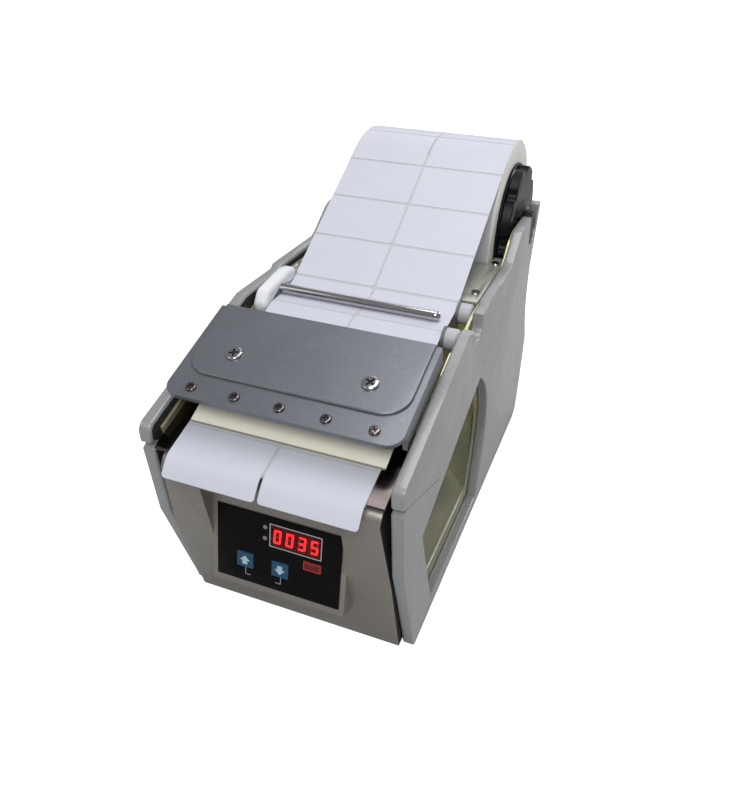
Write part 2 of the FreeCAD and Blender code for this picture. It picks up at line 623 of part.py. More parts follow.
def top_cover():
    body = on_lid("top_cover")
    round_corner = d.lid_round
    front = -d.lid_length
    slab(body, TOP, -d.lid_wall, [
        (lid_half, d.fit * 0), (-lid_half, d.fit * 0), (-lid_half, front + round_corner),
        (round_corner - lid_half, front, round_corner), (lid_half - round_corner, front),
        (lid_half, front + round_corner, round_corner)], d.lid_wall)
    skirt = slab(body, TOP, -d.skirt_depth, box_outline(lid_half - d.lid_wall, lid_half, -d.skirt_length,
                                                        d.fit * 0), d.skirt_depth - d.lid_wall)
    mirrored_x(body, [skirt])
    slab(body, TOP, -d.skirt_depth / 2, box_outline(d.lid_wall - lid_half, lid_half - d.lid_wall,
                                                    -d.lid_wall, d.fit * 0), d.skirt_depth / 2 - d.lid_wall)
    pillow_front = -d.pillow_length
    slab(body, TOP, None, [
        (pillow_half, d.fit * 0), (-pillow_half, d.fit * 0), (-pillow_half, pillow_front + d.pillow_round),
        (d.pillow_round - pillow_half, pillow_front, d.pillow_round),
        (pillow_half - d.pillow_round, pillow_front),
        (pillow_half, pillow_front + d.pillow_round, d.pillow_round)], d.pillow_rise)
    for at, radius in lid_holes():
        pin(body, TOP, d.pillow_rise, at, radius + d.fit, d.pillow_rise + d.lid_wall, kind="Pocket")

    def pillow_rim(edge):
        box = edge.BoundBox
        return abs(box.ZMin - float(d.pillow_rise)) < 0.001 and abs(box.ZMax - float(d.pillow_rise)) < 0.001 \
            and box.YMin < -1 and edge.Length > 5 * float(d.big_screw_radius)
    round_off(body, d.pillow_rise * 0.7, pillow_rim)
    return body


def lid_holes():
    """Where the screws go through the cover, with the radius of each shank."""
    holes = [((big_screw_half * side, -d.big_screw_run), d.big_screw_shank) for side in (-1, 1)]
    holes += [((d.small_screw_pitch * step, -d.small_screw_run), d.small_screw_shank) for step in range(-2, 3)]
    return holes


def lid_screws(label, holes, rise, head, depth):
    """Pan head screws as separate solids of one group, head on top of the cover."""
    body_shapes = []
    for at, shank in holes:
        top = float(rise)
        screw = Part.makeCylinder(float(head), float(d.head_rise), Vector(float(at[0]), float(at[1]), top))
        rim = [edge for edge in screw.Edges if abs(edge.BoundBox.ZMin - top - float(d.head_rise)) < 0.001]
        screw = screw.makeFillet(float(d.head_rise) * 0.6, rim)
        leg = Part.makeCylinder(float(shank), float(depth) + top, Vector(float(at[0]), float(at[1]), -float(depth)))
        body_shapes.append(screw.fuse(leg).removeSplitter())
    group = doc.addObject("Part::Feature", label)
    group.Label = label
    group.Shape = Part.makeCompound(body_shapes)
    tilt = Rotation(Vector(1, 0, 0), float(d.lid_slope))
    group.Placement = Placement(Vector(0, float(d.lid_y), float(d.lid_z)), tilt)
    return place(group)


def under_lid():
    """The bridge that the cover is screwed to, the bar under its front edge and the label sensor."""
    bridge = on_lid("cover_bridge")
    low = -d.bridge_depth
    front = -d.big_screw_run - d.bridge_reach
    rear = -d.big_screw_run + d.bridge_reach
    slab(bridge, TOP, low, box_outline(-inner_half + d.gap, inner_half - d.gap, front, rear), d.sheet)
    for at, shank in lid_holes()[:2]:
        pin(bridge, TOP, low + d.sheet, at, shank * 2, d.bridge_depth - d.sheet - d.lid_wall)
        pin(bridge, TOP, -d.lid_wall, at, shank + d.fit, d.bridge_depth, kind="Pocket")
    bar = on_lid("cover_front_bar")
    half = d.small_screw_pitch * 2 + d.bar_width
    middle = d.bar_shift - d.small_screw_run
    slab(bar, TOP, -d.lid_wall - d.bar_wall,
         box_outline(-half, half, middle - d.bar_width / 2, middle + d.bar_width / 2), d.bar_wall)
    for at, shank in lid_holes()[2:]:
        pin(bar, TOP, -d.lid_wall, at, shank + d.fit, d.bar_wall, kind="Pocket")
    sensor = on_lid("label_sensor")
    half = d.sensor_width / 2
    eye = (-lane_half, half + front + d.bar_wall)
    slab(sensor, TOP, low + d.sheet,
         box_outline(-lane_half - half, half - lane_half, eye[1] - half, eye[1] + half), d.bar_wall * 2)
    pin(sensor, TOP, low - d.bar_wall / 3, eye, d.bar_wall / 2, d.bar_wall)
    pin(bridge, TOP, low + d.sheet, eye, d.bar_wall / 2 + d.fit, d.sheet, kind="Pocket")


def feed_bend():
    """Angle of the web between the roll and the rear shaft, as the line that touches both."""
    across, rise = float(d.roll_y - d.rear_shaft_y), float(d.roll_z - d.rear_shaft_z)
    step = float(d.roll_radius + d.gap - d.shaft_radius - d.fit)
    return math.atan2(rise, across) + math.asin(step / math.hypot(across, rise))


def web_pieces():
    """The liner: from the roll over the shafts to the peel edge, round it and back to the nip. Each strip
    is drawn from the front to the back where it lies on something, so that it grows away from it."""
    rest = float(d.shaft_radius + d.fit)
    slope = math.radians(float(d.peel_slope))
    bend = feed_bend()
    reach = float(d.roll_radius + d.gap)
    off_roll = (float(d.roll_y) - math.sin(bend) * reach, float(d.roll_z) + math.cos(bend) * reach)
    on_rear = (float(d.rear_shaft_y) - math.sin(bend) * rest, float(d.rear_shaft_z) + math.cos(bend) * rest)
    under_rod = (float(d.rod_y), float(d.rod_z - d.rod_radius - d.fit - d.web_wall))
    on_front = (float(d.front_shaft_y), float(front_shaft_z) + rest)
    off_front = (float(d.front_shaft_y) - math.sin(slope) * rest, float(front_shaft_z) + math.cos(slope) * rest)
    centre = (float(peel_centre[0]), float(peel_centre[1]))
    step = math.radians(27)
    turn = float(d.plate_wall / 2 + d.fit) / math.cos(step / 2)
    nose = [(centre[0] - turn * math.sin(slope + step * index), centre[1] + turn * math.cos(slope + step * index))
            for index in range(7)]
    nip = (float(d.drive_y) - 2, float(d.drive_z + d.drive_radius + d.gap))
    onward = (on_rear[0] + float(d.web_wall) * math.cos(bend), on_rear[1] + float(d.web_wall) * math.sin(bend))
    past_nip = (float(d.drive_y + d.drive_radius / 2), nip[1])
    tail_end = (past_nip[0] + float(d.tail_length) * math.sin(math.pi / 4),
                past_nip[1] - float(d.tail_length) * math.cos(math.pi / 4))
    for label, points in (("web_roll_span", [onward, off_roll]),
                          ("web_shaft_span", [on_front, under_rod, on_rear]),
                          ("web_table_span", [nose[0], off_front, on_front]),
                          ("liner_edge_turn", nose[::-1]),
                          ("liner_return", [(nip[0], nip[1] + float(d.web_wall)), nose[-1]]),
                          ("liner_tail", [(nip[0] + 0.5, nip[1]), past_nip, tail_end])):
        strip(label, points, d.web_wall, -d.web_half, d.web_half)


def peeled_labels():
    """The two labels at the edge: their rear part still on the liner, their front part bending down."""
    rise = d.plate_wall / 2 + d.web_wall + d.fit * 3
    droop = (float(d.droop_y), float(d.droop_z))
    points = [droop, (droop[0] + 2.6, droop[1] + 3.4),
              (float(d.peel_y) - 3.4, float(over_edge(d.peel_y, rise)) - 1.4)]
    points += [(float(y), float(over_edge(y, rise))) for y in (d.peel_y + 0.4, d.peel_y + d.peeled_rest)]
    for label, side in (("left_peeled_label", -1), ("right_peeled_label", 1)):
        middle = lane_half * side
        strip(label, points, d.label_wall, middle - label_half, middle + label_half)


def press_film():
    """The film held under the bridge, which lies down on the labels in front of the cover."""
    foot_y = d.peel_y + d.film_foot
    rise = d.plate_wall / 2 + d.web_wall + d.label_wall + d.gap
    points = [(float(foot_y), float(over_edge(foot_y, rise)))]
    run = float(d.big_screw_run + d.bridge_reach)
    slope = math.radians(float(d.lid_slope))
    depth = float(d.bridge_depth + d.film_wall + d.fit)
    for held in (0, float(d.film_held)):
        points.append((float(d.lid_y) - (run - held) * math.cos(slope) + depth * math.sin(slope),
                       float(d.lid_z) - (run - held) * math.sin(slope) - depth * math.cos(slope)))
    strip("press_film", points, d.film_wall, d.film_inset - d.web_half, d.web_half + d.film_over)


def label_blanks():
    """Labels on the liner in two lanes, each with round corners, as separate solids of one group."""
    shapes = []
    thick = float(d.label_wall)
    spans = []
    slope = math.radians(float(d.peel_slope))
    table_y = float(d.peel_y + d.first_label)
    rise = d.plate_wall / 2 + d.web_wall + d.fit * 2
    table_z = float(over_edge(Size(table_y, repr(table_y)), rise))
    for step in range(3):
        along = float(d.label_pitch) * step
        spans.append((table_y + along * math.cos(slope), table_z + along * math.sin(slope), slope))
    bend = feed_bend()
    start = Vector(0, float(d.rear_shaft_y), float(d.rear_shaft_z))
    lift = float(d.shaft_radius + d.fit * 2 + d.web_wall)
    for step in range(3):
        along = float(d.feed_label + d.label_pitch * step)
        spans.append((start.y - math.sin(bend) * lift + along * math.cos(bend),
                      start.z + math.cos(bend) * lift + along * math.sin(bend), bend))
    for y, z, angle in spans:
        for side in (-1, 1):
            shapes.append(label_solid(side * float(lane_half), y, z, angle, thick))
    group = doc.addObject("Part::Feature", "web_labels")
    group.Label = "web_labels"
    group.Shape = Part.makeCompound(shapes)
    return place(group)


def label_solid(middle, y, z, angle, thick):
    half, length, corner = float(label_half), float(d.label_length), float(d.label_round)
    blank = Part.makeBox(half * 2, length, thick, Vector(-half, 0, 0))
    upright = [edge for edge in blank.Edges if edge.BoundBox.ZLength > thick * 0.9]
    blank = blank.makeFillet(corner, upright)
    blank.Placement = Placement(Vector(middle, y, z), Rotation(Vector(1, 0, 0), math.degrees(angle)))
    return blank


def shaft(label, y, z, radius, left, right):
    """A plain round bar along X as a cylinder primitive bound to the sheet."""
    bar = doc.addObject("Part::Cylinder", label)
    bar.Label = label
    bar.Placement = Placement(Vector(float(left), float(y), float(z)), Rotation(Vector(0, 1, 0), 90))
    bind(bar, "Radius", radius)
    bind(bar, "Height", right - left)
    bind(bar, "Placement.Base.x", left)
    bind(bar, "Placement.Base.y", y - d.centre_y)
    bind(bar, "Placement.Base.z", z)
    nodes.append(bar)
    return bar


def guide_pieces():
    """Cross shafts, the hold-down rod on its nylon block and the two collars that steer the web."""
    reach = inner_half - d.fit
    shaft("front_cross_shaft", d.front_shaft_y, front_shaft_z, d.shaft_radius, -reach, reach)
    shaft("rear_cross_shaft", d.rear_shaft_y, d.rear_shaft_z, d.shaft_radius, -reach, reach)
    rod_right = d.web_half - d.rod_inset
    rod_end = rod_right - d.rod_radius
    block_left = -inside_half
    block_right = block_left + d.block_length
    collar_right = inside_half
    collar_left = collar_right - d.collar_length
    turned("hold_down_rod", ((d.rod_y, d.rod_z), [
        (block_left + 2, d.fit * 0), (rod_right, d.fit * 0), (rod_end, d.rod_radius, d.rod_radius),
        (block_right, d.rod_radius), (block_right, d.rod_radius - 1),
        (block_left + 2, d.rod_radius - 1)]))
    block = new_body("guide_block")
    edge = d.block_edge
    low = front_shaft_z - d.shaft_radius - d.block_floor
    high = d.rod_z + d.rod_radius + d.block_cap
    slab(block, SIDE, block_left, [
        (d.front_shaft_y - edge * 2, low + edge * 1.25), (d.front_shaft_y - edge, low),
        (d.rear_shaft_y + edge / 4, low + edge / 4), (d.rear_shaft_y + edge * 1.5, low + edge * 1.75),
        (d.rear_shaft_y + edge, high + edge * 0.15), (d.rear_shaft_y - edge, high + edge / 2),
        (d.front_shaft_y - edge * 0.75, high - edge * 0.375),
        (d.front_shaft_y - edge * 2.25, high - edge * 2.25)], d.block_length)
    bores = [(d.front_shaft_y, front_shaft_z, d.shaft_radius), (d.rear_shaft_y, d.rear_shaft_z, d.shaft_radius)]
    for y, z, radius in bores:
        pin(block, SIDE, block_left, (y, z), radius + d.fit, block_right - block_left, kind="Pocket",
            back=True)
    pin(block, SIDE, block_left + 2, (d.rod_y, d.rod_z), d.rod_radius - 1 + d.fit, block_right - block_left,
        kind="Pocket", back=True)
    bore = d.shaft_radius + d.fit
    collar = [(collar_left, bore), (collar_right, bore), (collar_right, d.collar_radius - 1),
              (collar_right - 1, d.collar_radius), (collar_left, d.collar_radius)]
    ring = tube_profile(collar_left - d.ring_wall, collar_left, d.ring_radius, bore)
    centres = [(d.front_shaft_y, front_shaft_z), (d.rear_shaft_y, d.rear_shaft_z)]
    turned("guide_collars", *[(centre, collar) for centre in centres])
    turned("guide_rings", *[(centre, ring) for centre in centres])


def peel_plate():
    """The polished plate that the web slides down, with its narrow round edge in front."""
    body = new_body("peel_plate")
    half = d.plate_wall / 2
    lift, push = half * cosine(d.peel_slope), half * sine(d.peel_slope)
    y, z = peel_centre
    slab(body, SIDE, None, [
        (d.plate_end_y, over_edge(d.plate_end_y, half)), (y - push, z + lift),
        (y - lift, z - push, half), (y + push, z - lift, half),
        (d.plate_end_y, over_edge(d.plate_end_y, -half))], inside_half * 2, both=True)
    return body


def sheet_metal():
    base = new_body("base_plate")
    wall = d.sheet
    top = d.base_z + wall
    slab(base, TOP, d.base_z, box_outline(-inside_half, inside_half, d.base_front_y, d.base_back_y), wall)
    flange = slab(base, TOP, top, box_outline(inside_half - wall, inside_half, d.base_front_y, d.base_back_y),
                  d.flange_height)
    mirrored_x(base, [flange])
    bulkhead = new_body("bulkhead")
    y, half, end = d.bulkhead_y, d.bulkhead_bend_half, d.bulkhead_end_y
    wing = inside_half - wall - d.gap
    slab(bulkhead, TOP, top, [
        (half, y), (wing, end), (wing, end + wall * 1.5), (half + wall * 0.4, y + wall),
        (-half - wall * 0.4, y + wall), (-wing, end + wall * 1.5), (-wing, end), (-half, y)],
        d.bulkhead_top_z - top)
    deck = new_body("deck_plate")
    cut = d.web_half + d.deck_clearance
    slab(deck, TOP, d.deck_z - wall, [
        (inside_half, d.deck_front_y), (inside_half, d.deck_back_y), (cut, d.deck_back_y), (cut, d.deck_cut_y),
        (-cut, d.deck_cut_y), (-cut, d.deck_back_y), (-inside_half, d.deck_back_y),
        (-inside_half, d.deck_front_y)], wall)
    for at in deck_screw_places():
        pin(deck, TOP, d.deck_z, at, d.deck_screw_shank + d.fit, wall, kind="Pocket")
    hem = d.bulkhead_top_z - d.flange_height
    slab(deck, TOP, hem, box_outline(-half, half, y - wall, y), d.deck_z - wall - hem)
    rear = new_body("rear_panel")
    slab(rear, FRONT, -d.rear_wall_y - wall, box_outline(-inside_half + wall + d.gap, inside_half - wall - d.gap,
                                                         top, d.rear_wall_z), wall)
    pin(rear, FRONT, -d.rear_wall_y - wall, (d.jack_x, d.jack_z), d.jack_radius + d.fit, wall, kind="Pocket",
        back=True)
    slab(rear, FRONT, -d.rear_wall_y - wall, box_outline(
        d.switch_x - d.switch_width / 2 - d.fit, d.switch_x + d.switch_width / 2 + d.fit,
        d.switch_z - d.switch_height / 2 - d.fit, d.switch_z + d.switch_height / 2 + d.fit), wall,
        kind="Pocket", back=True)


def deck_screw_places():
    half = inside_half - d.deck_screw_inset
    return [(half * side, y) for y in (d.deck_screw_front_y, d.deck_screw_back_y) for side in (-1, 1)]


def deck_screws():
    """The screws that hold the deck plate, as separate solids of one node."""
    body = new_body("deck_screws")
    for at in deck_screw_places():
        pin(body, TOP, d.deck_z, at, d.deck_screw_head, d.head_rise)
        pin(body, TOP, d.deck_z - d.sheet * 2, at, d.deck_screw_shank, d.sheet * 2)
    return body


def mesh_phase(way, teeth, phase, next_teeth):
    """Degrees to turn the next wheel so that its gap takes a tooth of this one. The way is the direction
    from this wheel's centre to the next, counted like the phases from straight up."""
    through = (way - phase) * teeth / 360.0
    return way + 180 - (0.5 - through) * 360.0 / next_teeth


def gear(label, centre, teeth, bore, phase=0):
    """A spur wheel: root disc and one tooth with arc flanks, repeated round the axis by a pattern."""
    body = new_body(label)
    left, width = gear_left, gear_right - gear_left
    module = float(d.gear_module)
    pitch = module * float(teeth) / 2
    root, tip = pitch - 1.25 * module, pitch + 0.9 * module
    base_sketch = new_sketch(body, SIDE, left)
    root_size = d.gear_module * teeth / 2 - d.gear_module * 1.25
    bind(base_sketch, "AttachmentOffset.Base.x", centre[0])
    bind(base_sketch, "AttachmentOffset.Base.y", centre[1])
    draw_circle(base_sketch, (d.fit * 0, d.fit * 0), root_size)
    if bore is not None:
        draw_circle(base_sketch, (d.fit * 0, d.fit * 0), bore)
    extrude(body, base_sketch, width)
    turn = math.pi / 2 / float(teeth)
    tilt = math.radians(phase)
    slack = float(d.gear_slack) / 2 / pitch

    def flank(radius, half_angle, side):
        angle = tilt + side * half_angle
        return Vector(-radius * math.sin(angle), radius * math.cos(angle), 0)

    left_side, right_side = [[flank(root - 0.2, turn * 1.5, side), flank(pitch, turn - slack, side),
                              flank(tip, turn * 0.42, side)] for side in (1, -1)]
    tooth = new_sketch(body, SIDE, left)
    bind(tooth, "AttachmentOffset.Base.x", centre[0])
    bind(tooth, "AttachmentOffset.Base.y", centre[1])
    tooth.addGeometry(Part.Arc(*left_side))
    tooth.addGeometry(Part.LineSegment(left_side[2], right_side[2]))
    tooth.addGeometry(Part.Arc(*right_side[::-1]))
    tooth.addGeometry(Part.LineSegment(right_side[0], left_side[0]))
    pad = extrude(body, tooth, width)
    pattern = body.newObject("PartDesign::PolarPattern", "teeth")
    pattern.Originals = [pad]
    pattern.Axis = (base_sketch, ["N_Axis"])
    pattern.Angle = 360
    bind(pattern, "Occurrences", teeth)
    body.Tip = pattern
    return body


def drive():
    """Rubber roller, pinch roller, gear train and motor that pull the liner round the peel edge."""
    none = d.fit * 0
    bore = d.drive_shaft_radius
    shaft("drive_shaft", d.drive_y, d.drive_z, bore, -inner_half + d.gap, frame_half + d.frame_wall - d.gap)
    nip = (d.drive_y, d.drive_z)
    turned("drive_roller", (nip, tube_profile(-drive_half, drive_half, d.drive_radius, bore)))
    pinch_end = inner_half - d.gap
    turned("pinch_roller", ((d.pinch_y, pinch_z), [
        (-pinch_end, none), (pinch_end, none), (pinch_end, d.pinch_shaft_radius),
        (drive_half, d.pinch_shaft_radius), (drive_half, d.pinch_radius), (-drive_half, d.pinch_radius),
        (-drive_half, d.pinch_shaft_radius), (-pinch_end, d.pinch_shaft_radius)]))
    step = (d.drive_teeth + d.idler_teeth) * d.gear_module / 2 + d.gear_slack / 2
    idler = (d.drive_y, d.drive_z - step)
    reach = (d.idler_teeth + d.pinion_teeth) * d.gear_module / 2 + d.gear_slack / 2
    motor = (idler[0] + reach * sine(d.motor_turn), idler[1] - reach * cosine(d.motor_turn))
    idler_phase = mesh_phase(180, float(d.drive_teeth), 0, float(d.idler_teeth))
    pinion_phase = mesh_phase(180 + float(d.motor_turn), float(d.idler_teeth), idler_phase, float(d.pinion_teeth))
    gear("drive_gear", (d.drive_y, d.drive_z), d.drive_teeth, bore)
    gear("idler_gear", idler, d.idler_teeth, bore - 1 + d.fit, idler_phase)
    pinion = gear("motor_pinion", motor, d.pinion_teeth, None, pinion_phase)
    seat = gear_right + d.gap
    pin(pinion, SIDE, gear_right, motor, bore - 1, d.motor_wall * 3)
    shaft("idler_stud", idler[0], idler[1], bore - 1, gear_left, seat)
    back = seat + d.motor_wall
    front = back + d.motor_box + d.motor_length
    depth = gear_right + d.motor_wall * 3 + d.gap
    turned("gear_motor", (motor, [
        (depth, none), (front, none), (front, d.motor_radius - 1), (back + d.motor_box, d.motor_radius - 1),
        (back + d.motor_box, d.motor_radius), (back, d.motor_radius), (back, d.motor_radius * 0.3),
        (seat, d.motor_radius * 0.3), (seat, bore - 1 + d.fit), (depth, bore - 1 + d.fit)]))
    bracket = new_body("motor_bracket")
    left = seat
    low = d.base_z + d.sheet
    slab(bracket, SIDE, left, box_outline(motor[0] - d.motor_radius, motor[0] + d.motor_radius, low,
                                          idler[1] + bore * 2), d.motor_wall)
    pin(bracket, SIDE, left, motor, d.motor_radius * 0.3 + d.fit, d.motor_wall, kind="Pocket", back=True)
    slab(bracket, TOP, low, box_outline(left + d.motor_wall, left + d.motor_wall + d.motor_radius,
                                        motor[0] - d.motor_radius, motor[0] + d.motor_radius), d.motor_wall)
    turned("drive_bushes", (nip, bush_profile(-1, bore)), (nip, bush_profile(1, bore)))


def bush_profile(side, bore):
    """A flanged bush in the frame plate, its flange on the inside."""
    inner, outer = frame_half * side, inner_half * side - side * 0.05
    flange = (frame_half - 1.2) * side
    points = [(flange, bore + d.fit), (outer, bore + d.fit), (outer, d.bush_radius), (inner, d.bush_radius),
              (inner, d.bush_radius + 2), (flange, d.bush_radius + 2)]
    return points if side > 0 else points[::-1]


def spool():
    """Spool shaft in the slots, lobed hubs, flange discs, core and the roll of labels."""
    at = (d.roll_y, d.roll_z)
    none = d.fit * 0
    journal, shoulder = d.slot_half - d.fit, frame_half - d.gap
    journal_end = cover_half - d.journal_inset
    turned("spool_shaft", (at, [
        (-journal_end, none), (journal_end, none), (journal_end, journal), (shoulder, journal),
        (shoulder, d.spool_radius), (-shoulder, d.spool_radius), (-shoulder, journal),
        (-journal_end, journal)]))
    bore = d.spool_radius
    turned("roll_core", (at, tube_profile(-d.web_half, d.web_half, d.core_radius, d.core_radius - d.core_wall)))
    turned("label_roll", (at, tube_profile(-d.web_half, d.web_half, d.roll_radius, d.core_radius)))
    for side, name in ((-1, "left_spool_hub"), (1, "right_spool_hub")):
        body = new_body(name)
        start = d.web_half if side > 0 else -d.web_half - d.disc_wall
        plug = d.web_half - d.plug_length if side > 0 else -d.web_half
        pin(body, SIDE, start, at, d.disc_radius, d.disc_wall)
        pin(body, SIDE, plug, at, d.core_radius - d.core_wall, d.plug_length)
        knob = d.web_half + d.disc_wall if side > 0 else -d.web_half - d.disc_wall - d.hub_length
        hub = pin(body, SIDE, knob, at, d.hub_radius, d.hub_length)
        bite = pin(body, SIDE, knob, (d.roll_y, d.roll_z + d.hub_radius + d.lobe_bite * 0.4), d.lobe_bite,
                   d.hub_length, kind="Pocket", back=True)
        centre = new_sketch(body, SIDE, knob)
        bind(centre, "AttachmentOffset.Base.x", d.roll_y)
        bind(centre, "AttachmentOffset.Base.y", d.roll_z)
        draw_circle(centre, (none, none), bore)
        pattern = body.newObject("PartDesign::PolarPattern", "lobes")
        pattern.Originals = [bite]
        pattern.Axis = (centre, ["N_Axis"])
        pattern.Angle = 360
        bind(pattern, "Occurrences", d.hub_lobes)
        body.Tip = pattern
        start = -cover_half if side < 0 else d.web_half - d.plug_length - 1
        pin(body, SIDE, start, at, bore, cover_half - d.web_half + d.plug_length + 1, kind="Pocket", back=True)


def electrics():
    none = d.fit * 0
    wall = d.rear_wall_y + d.sheet
    jack = new_body("power_jack")
    pin(jack, FRONT, -wall - 1.2, (d.jack_x, d.jack_z), d.jack_radius + 1.2, none + 1.2)
    pin(jack, FRONT, -wall, (d.jack_x, d.jack_z), d.jack_radius, none + 12)
    pin(jack, FRONT, -wall - 1.2, (d.jack_x, d.jack_z), d.jack_radius * 0.55, none + 9, kind="Pocket",
        back=True)
    pin(jack, FRONT, -wall - 1, (d.jack_x, d.jack_z), d.jack_radius * 0.18, none + 9)
    frame = new_body("switch_frame")
    half_width, half_height = d.switch_width / 2, d.switch_height / 2
    slab(frame, FRONT, -wall - 1, box_outline(d.switch_x - half_width - 1.2, d.switch_x + half_width + 1.2,
                                              d.switch_z - half_height - 1.2, d.switch_z + half_height + 1.2),
         none + 1)
    slab(frame, FRONT, -wall, box_outline(d.switch_x - half_width, d.switch_x + half_width,
                                          d.switch_z - half_height, d.switch_z + half_height), none + 14)
    slab(frame, FRONT, -wall - 1, box_outline(d.switch_x - half_width + 1.5, d.switch_x + half_width - 1.5,
                                              d.switch_z - half_height + 1.5, d.switch_z + half_height - 1.5),
         none + 9, kind="Pocket", back=True)
    rocker = new_body("power_rocker", tilt=d.rocker_tilt, at=(wall - 2, d.switch_z))
    half = half_height - 2
    slab(rocker, SIDE, d.switch_x - half_width + 1.8, [
        (none - 3, half * -0.5), (none + 4.2, -half), (none + 3, none), (none + 4.2, half),
        (none - 3, half * 0.5)], d.switch_width - 3.6)


def feet():
    body = new_body("rubber_feet")
    for y in (d.foot_front_y, d.foot_back_y):
        for side in (-1, 1):
            pin(body, TOP, None, ((cover_half - d.foot_inset) * side, y), d.foot_radius, d.base_z)
    return body


def done():
    """Recomputes, checks every object and writes each sub-part to its own file."""
    doc.recompute()
    for obj in doc.Objects:
        if {"Invalid", "Error"} & set(obj.State):
            raise RuntimeError("%s failed: %s" % (obj.Label, obj.State))
    os.makedirs("parts", exist_ok=True)
    for node in nodes:
        if node.Shape.isNull() or not node.Shape.isValid():
            raise RuntimeError("bad shape: " + node.Label)
        node.Shape.exportStep("parts/%s.step" % node.Label)
        box = node.Shape.BoundBox
        print("%-22s %6.1f..%6.1f %6.1f..%6.1f %6.1f..%6.1f  %9.1f mm3 %d" % (
            node.Label, box.XMin, box.XMax, box.YMin, box.YMax, box.ZMin, box.ZMax,
            node.Shape.Volume, len(node.Shape.Solids)))


side_cover("left_side_cover", -1)
side_cover("right_side_cover", 1)
frame_plate("left_frame_plate", -1)
frame_plate("right_frame_plate", 1)
front_housing()
panel_pieces()
top_cover()
lid_screws("cover_screws_large", lid_holes()[:2], d.pillow_rise, d.big_screw_radius, d.bridge_depth)
lid_screws("cover_screws_small", lid_holes()[2:], d.fit * 0, d.small_screw_radius, d.lid_wall + d.bar_wall)
under_lid()
web_pieces()
peeled_labels()
press_film()
label_blanks()
guide_pieces()
peel_plate()
sheet_metal()
deck_screws()
drive()
spool()
electrics()
feet()
done()
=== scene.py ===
import bmesh
import bpy
import json
import math
from mathutils import Matrix, Vector


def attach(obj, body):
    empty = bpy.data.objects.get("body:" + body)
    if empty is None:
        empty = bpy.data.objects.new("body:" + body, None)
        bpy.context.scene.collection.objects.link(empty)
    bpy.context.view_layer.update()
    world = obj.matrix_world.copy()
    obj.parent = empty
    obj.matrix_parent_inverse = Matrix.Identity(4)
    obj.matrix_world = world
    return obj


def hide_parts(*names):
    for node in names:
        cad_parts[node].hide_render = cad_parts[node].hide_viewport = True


# Looks of the label dispenser. X runs to the right seen from the front, Y to the roll at the back and Z
# up, in metres. The sizes in millimetres are divided by 1000 where a piece is laid in its place.

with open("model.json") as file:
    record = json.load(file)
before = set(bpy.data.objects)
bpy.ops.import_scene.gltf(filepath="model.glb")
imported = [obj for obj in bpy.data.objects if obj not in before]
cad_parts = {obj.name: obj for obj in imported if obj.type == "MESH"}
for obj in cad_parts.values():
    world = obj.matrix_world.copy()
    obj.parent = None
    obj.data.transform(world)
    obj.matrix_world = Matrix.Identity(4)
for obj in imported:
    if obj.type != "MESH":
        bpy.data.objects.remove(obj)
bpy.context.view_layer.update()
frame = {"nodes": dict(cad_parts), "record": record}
scene = bpy.context.scene
BODY_OF = {node: body for body, members in frame["record"]["behaviour"]["bodies"].items() for node in members}
SLOT_OF = {row["node"]: row["material_slot"] for row in frame["record"]["subparts"]}
MM = 0.001


# Camera: place, turns and focal length as fitted to the photograph's 750 x 800 frame

CAMERA_AT = (0.143934, -0.393386, 0.336400)
CAMERA_TURN, CAMERA_TILT, CAMERA_ROLL = 20.776, 31.068, 1.34
FOCAL_LENGTH = 33.298


def photograph_camera():
    turn, tilt, roll = (math.radians(angle) for angle in (CAMERA_TURN, CAMERA_TILT, CAMERA_ROLL))
    ahead = Vector((-math.sin(turn) * math.cos(tilt), math.cos(turn) * math.cos(tilt), -math.sin(tilt)))
    level = Vector((math.cos(turn), math.sin(turn), 0))
    rise = level.cross(ahead)
    right = math.cos(roll) * level + math.sin(roll) * rise
    up = math.cos(roll) * rise - math.sin(roll) * level
    lens = bpy.data.cameras.new("photograph_camera")
    camera = bpy.data.objects.new("photograph_camera", lens)
    scene.collection.objects.link(camera)
    turned = Matrix((right, up, -ahead)).transposed().to_4x4()
    camera.matrix_world = Matrix.Translation(CAMERA_AT) @ turned
    lens.sensor_width = 36
    lens.lens = FOCAL_LENGTH
    lens.shift_x = 0.00316
    lens.shift_y = -0.01217
    lens.clip_start = 0.01
    scene.camera = camera


photograph_camera()


# Modelling

def only(*pieces):
    bpy.ops.object.select_all(action="DESELECT")
    for piece in pieces:
        piece.select_set(True)
    bpy.context.view_layer.objects.active = pieces[0]


def to_edit(piece, mode="EDGE"):
    only(piece)
    bpy.ops.object.mode_set(mode="EDIT")
    bpy.ops.mesh.select_mode(type=mode)
    bpy.ops.mesh.select_all(action="DESELECT")
    return bmesh.from_edit_mesh(piece.data)


def from_edit():
    bpy.ops.object.mode_set(mode="OBJECT")


def refine(piece, kind, **values):
    """Adds a modifier with these values and applies it."""
    only(piece)
    modifier = piece.modifiers.new(kind.lower(), kind)
    for name, value in values.items():
        setattr(modifier, name, value)
    bpy.ops.object.modifier_apply(modifier=modifier.name)


def loose_copy(node, name):
    """A copy of a solid of the frame, its triangles merged into whole faces."""
    piece = bpy.data.objects.new(name, frame["nodes"][node].data.copy())
    piece.data.materials.clear()
    scene.collection.objects.link(piece)
    to_edit(piece, "VERT")
    bpy.ops.mesh.customdata_custom_splitnormals_clear()
    bpy.ops.mesh.select_all(action="SELECT")
    bpy.ops.mesh.remove_doubles(threshold=2e-6)
    bpy.ops.mesh.dissolve_limited(angle_limit=math.radians(0.8))
    from_edit()
    return piece


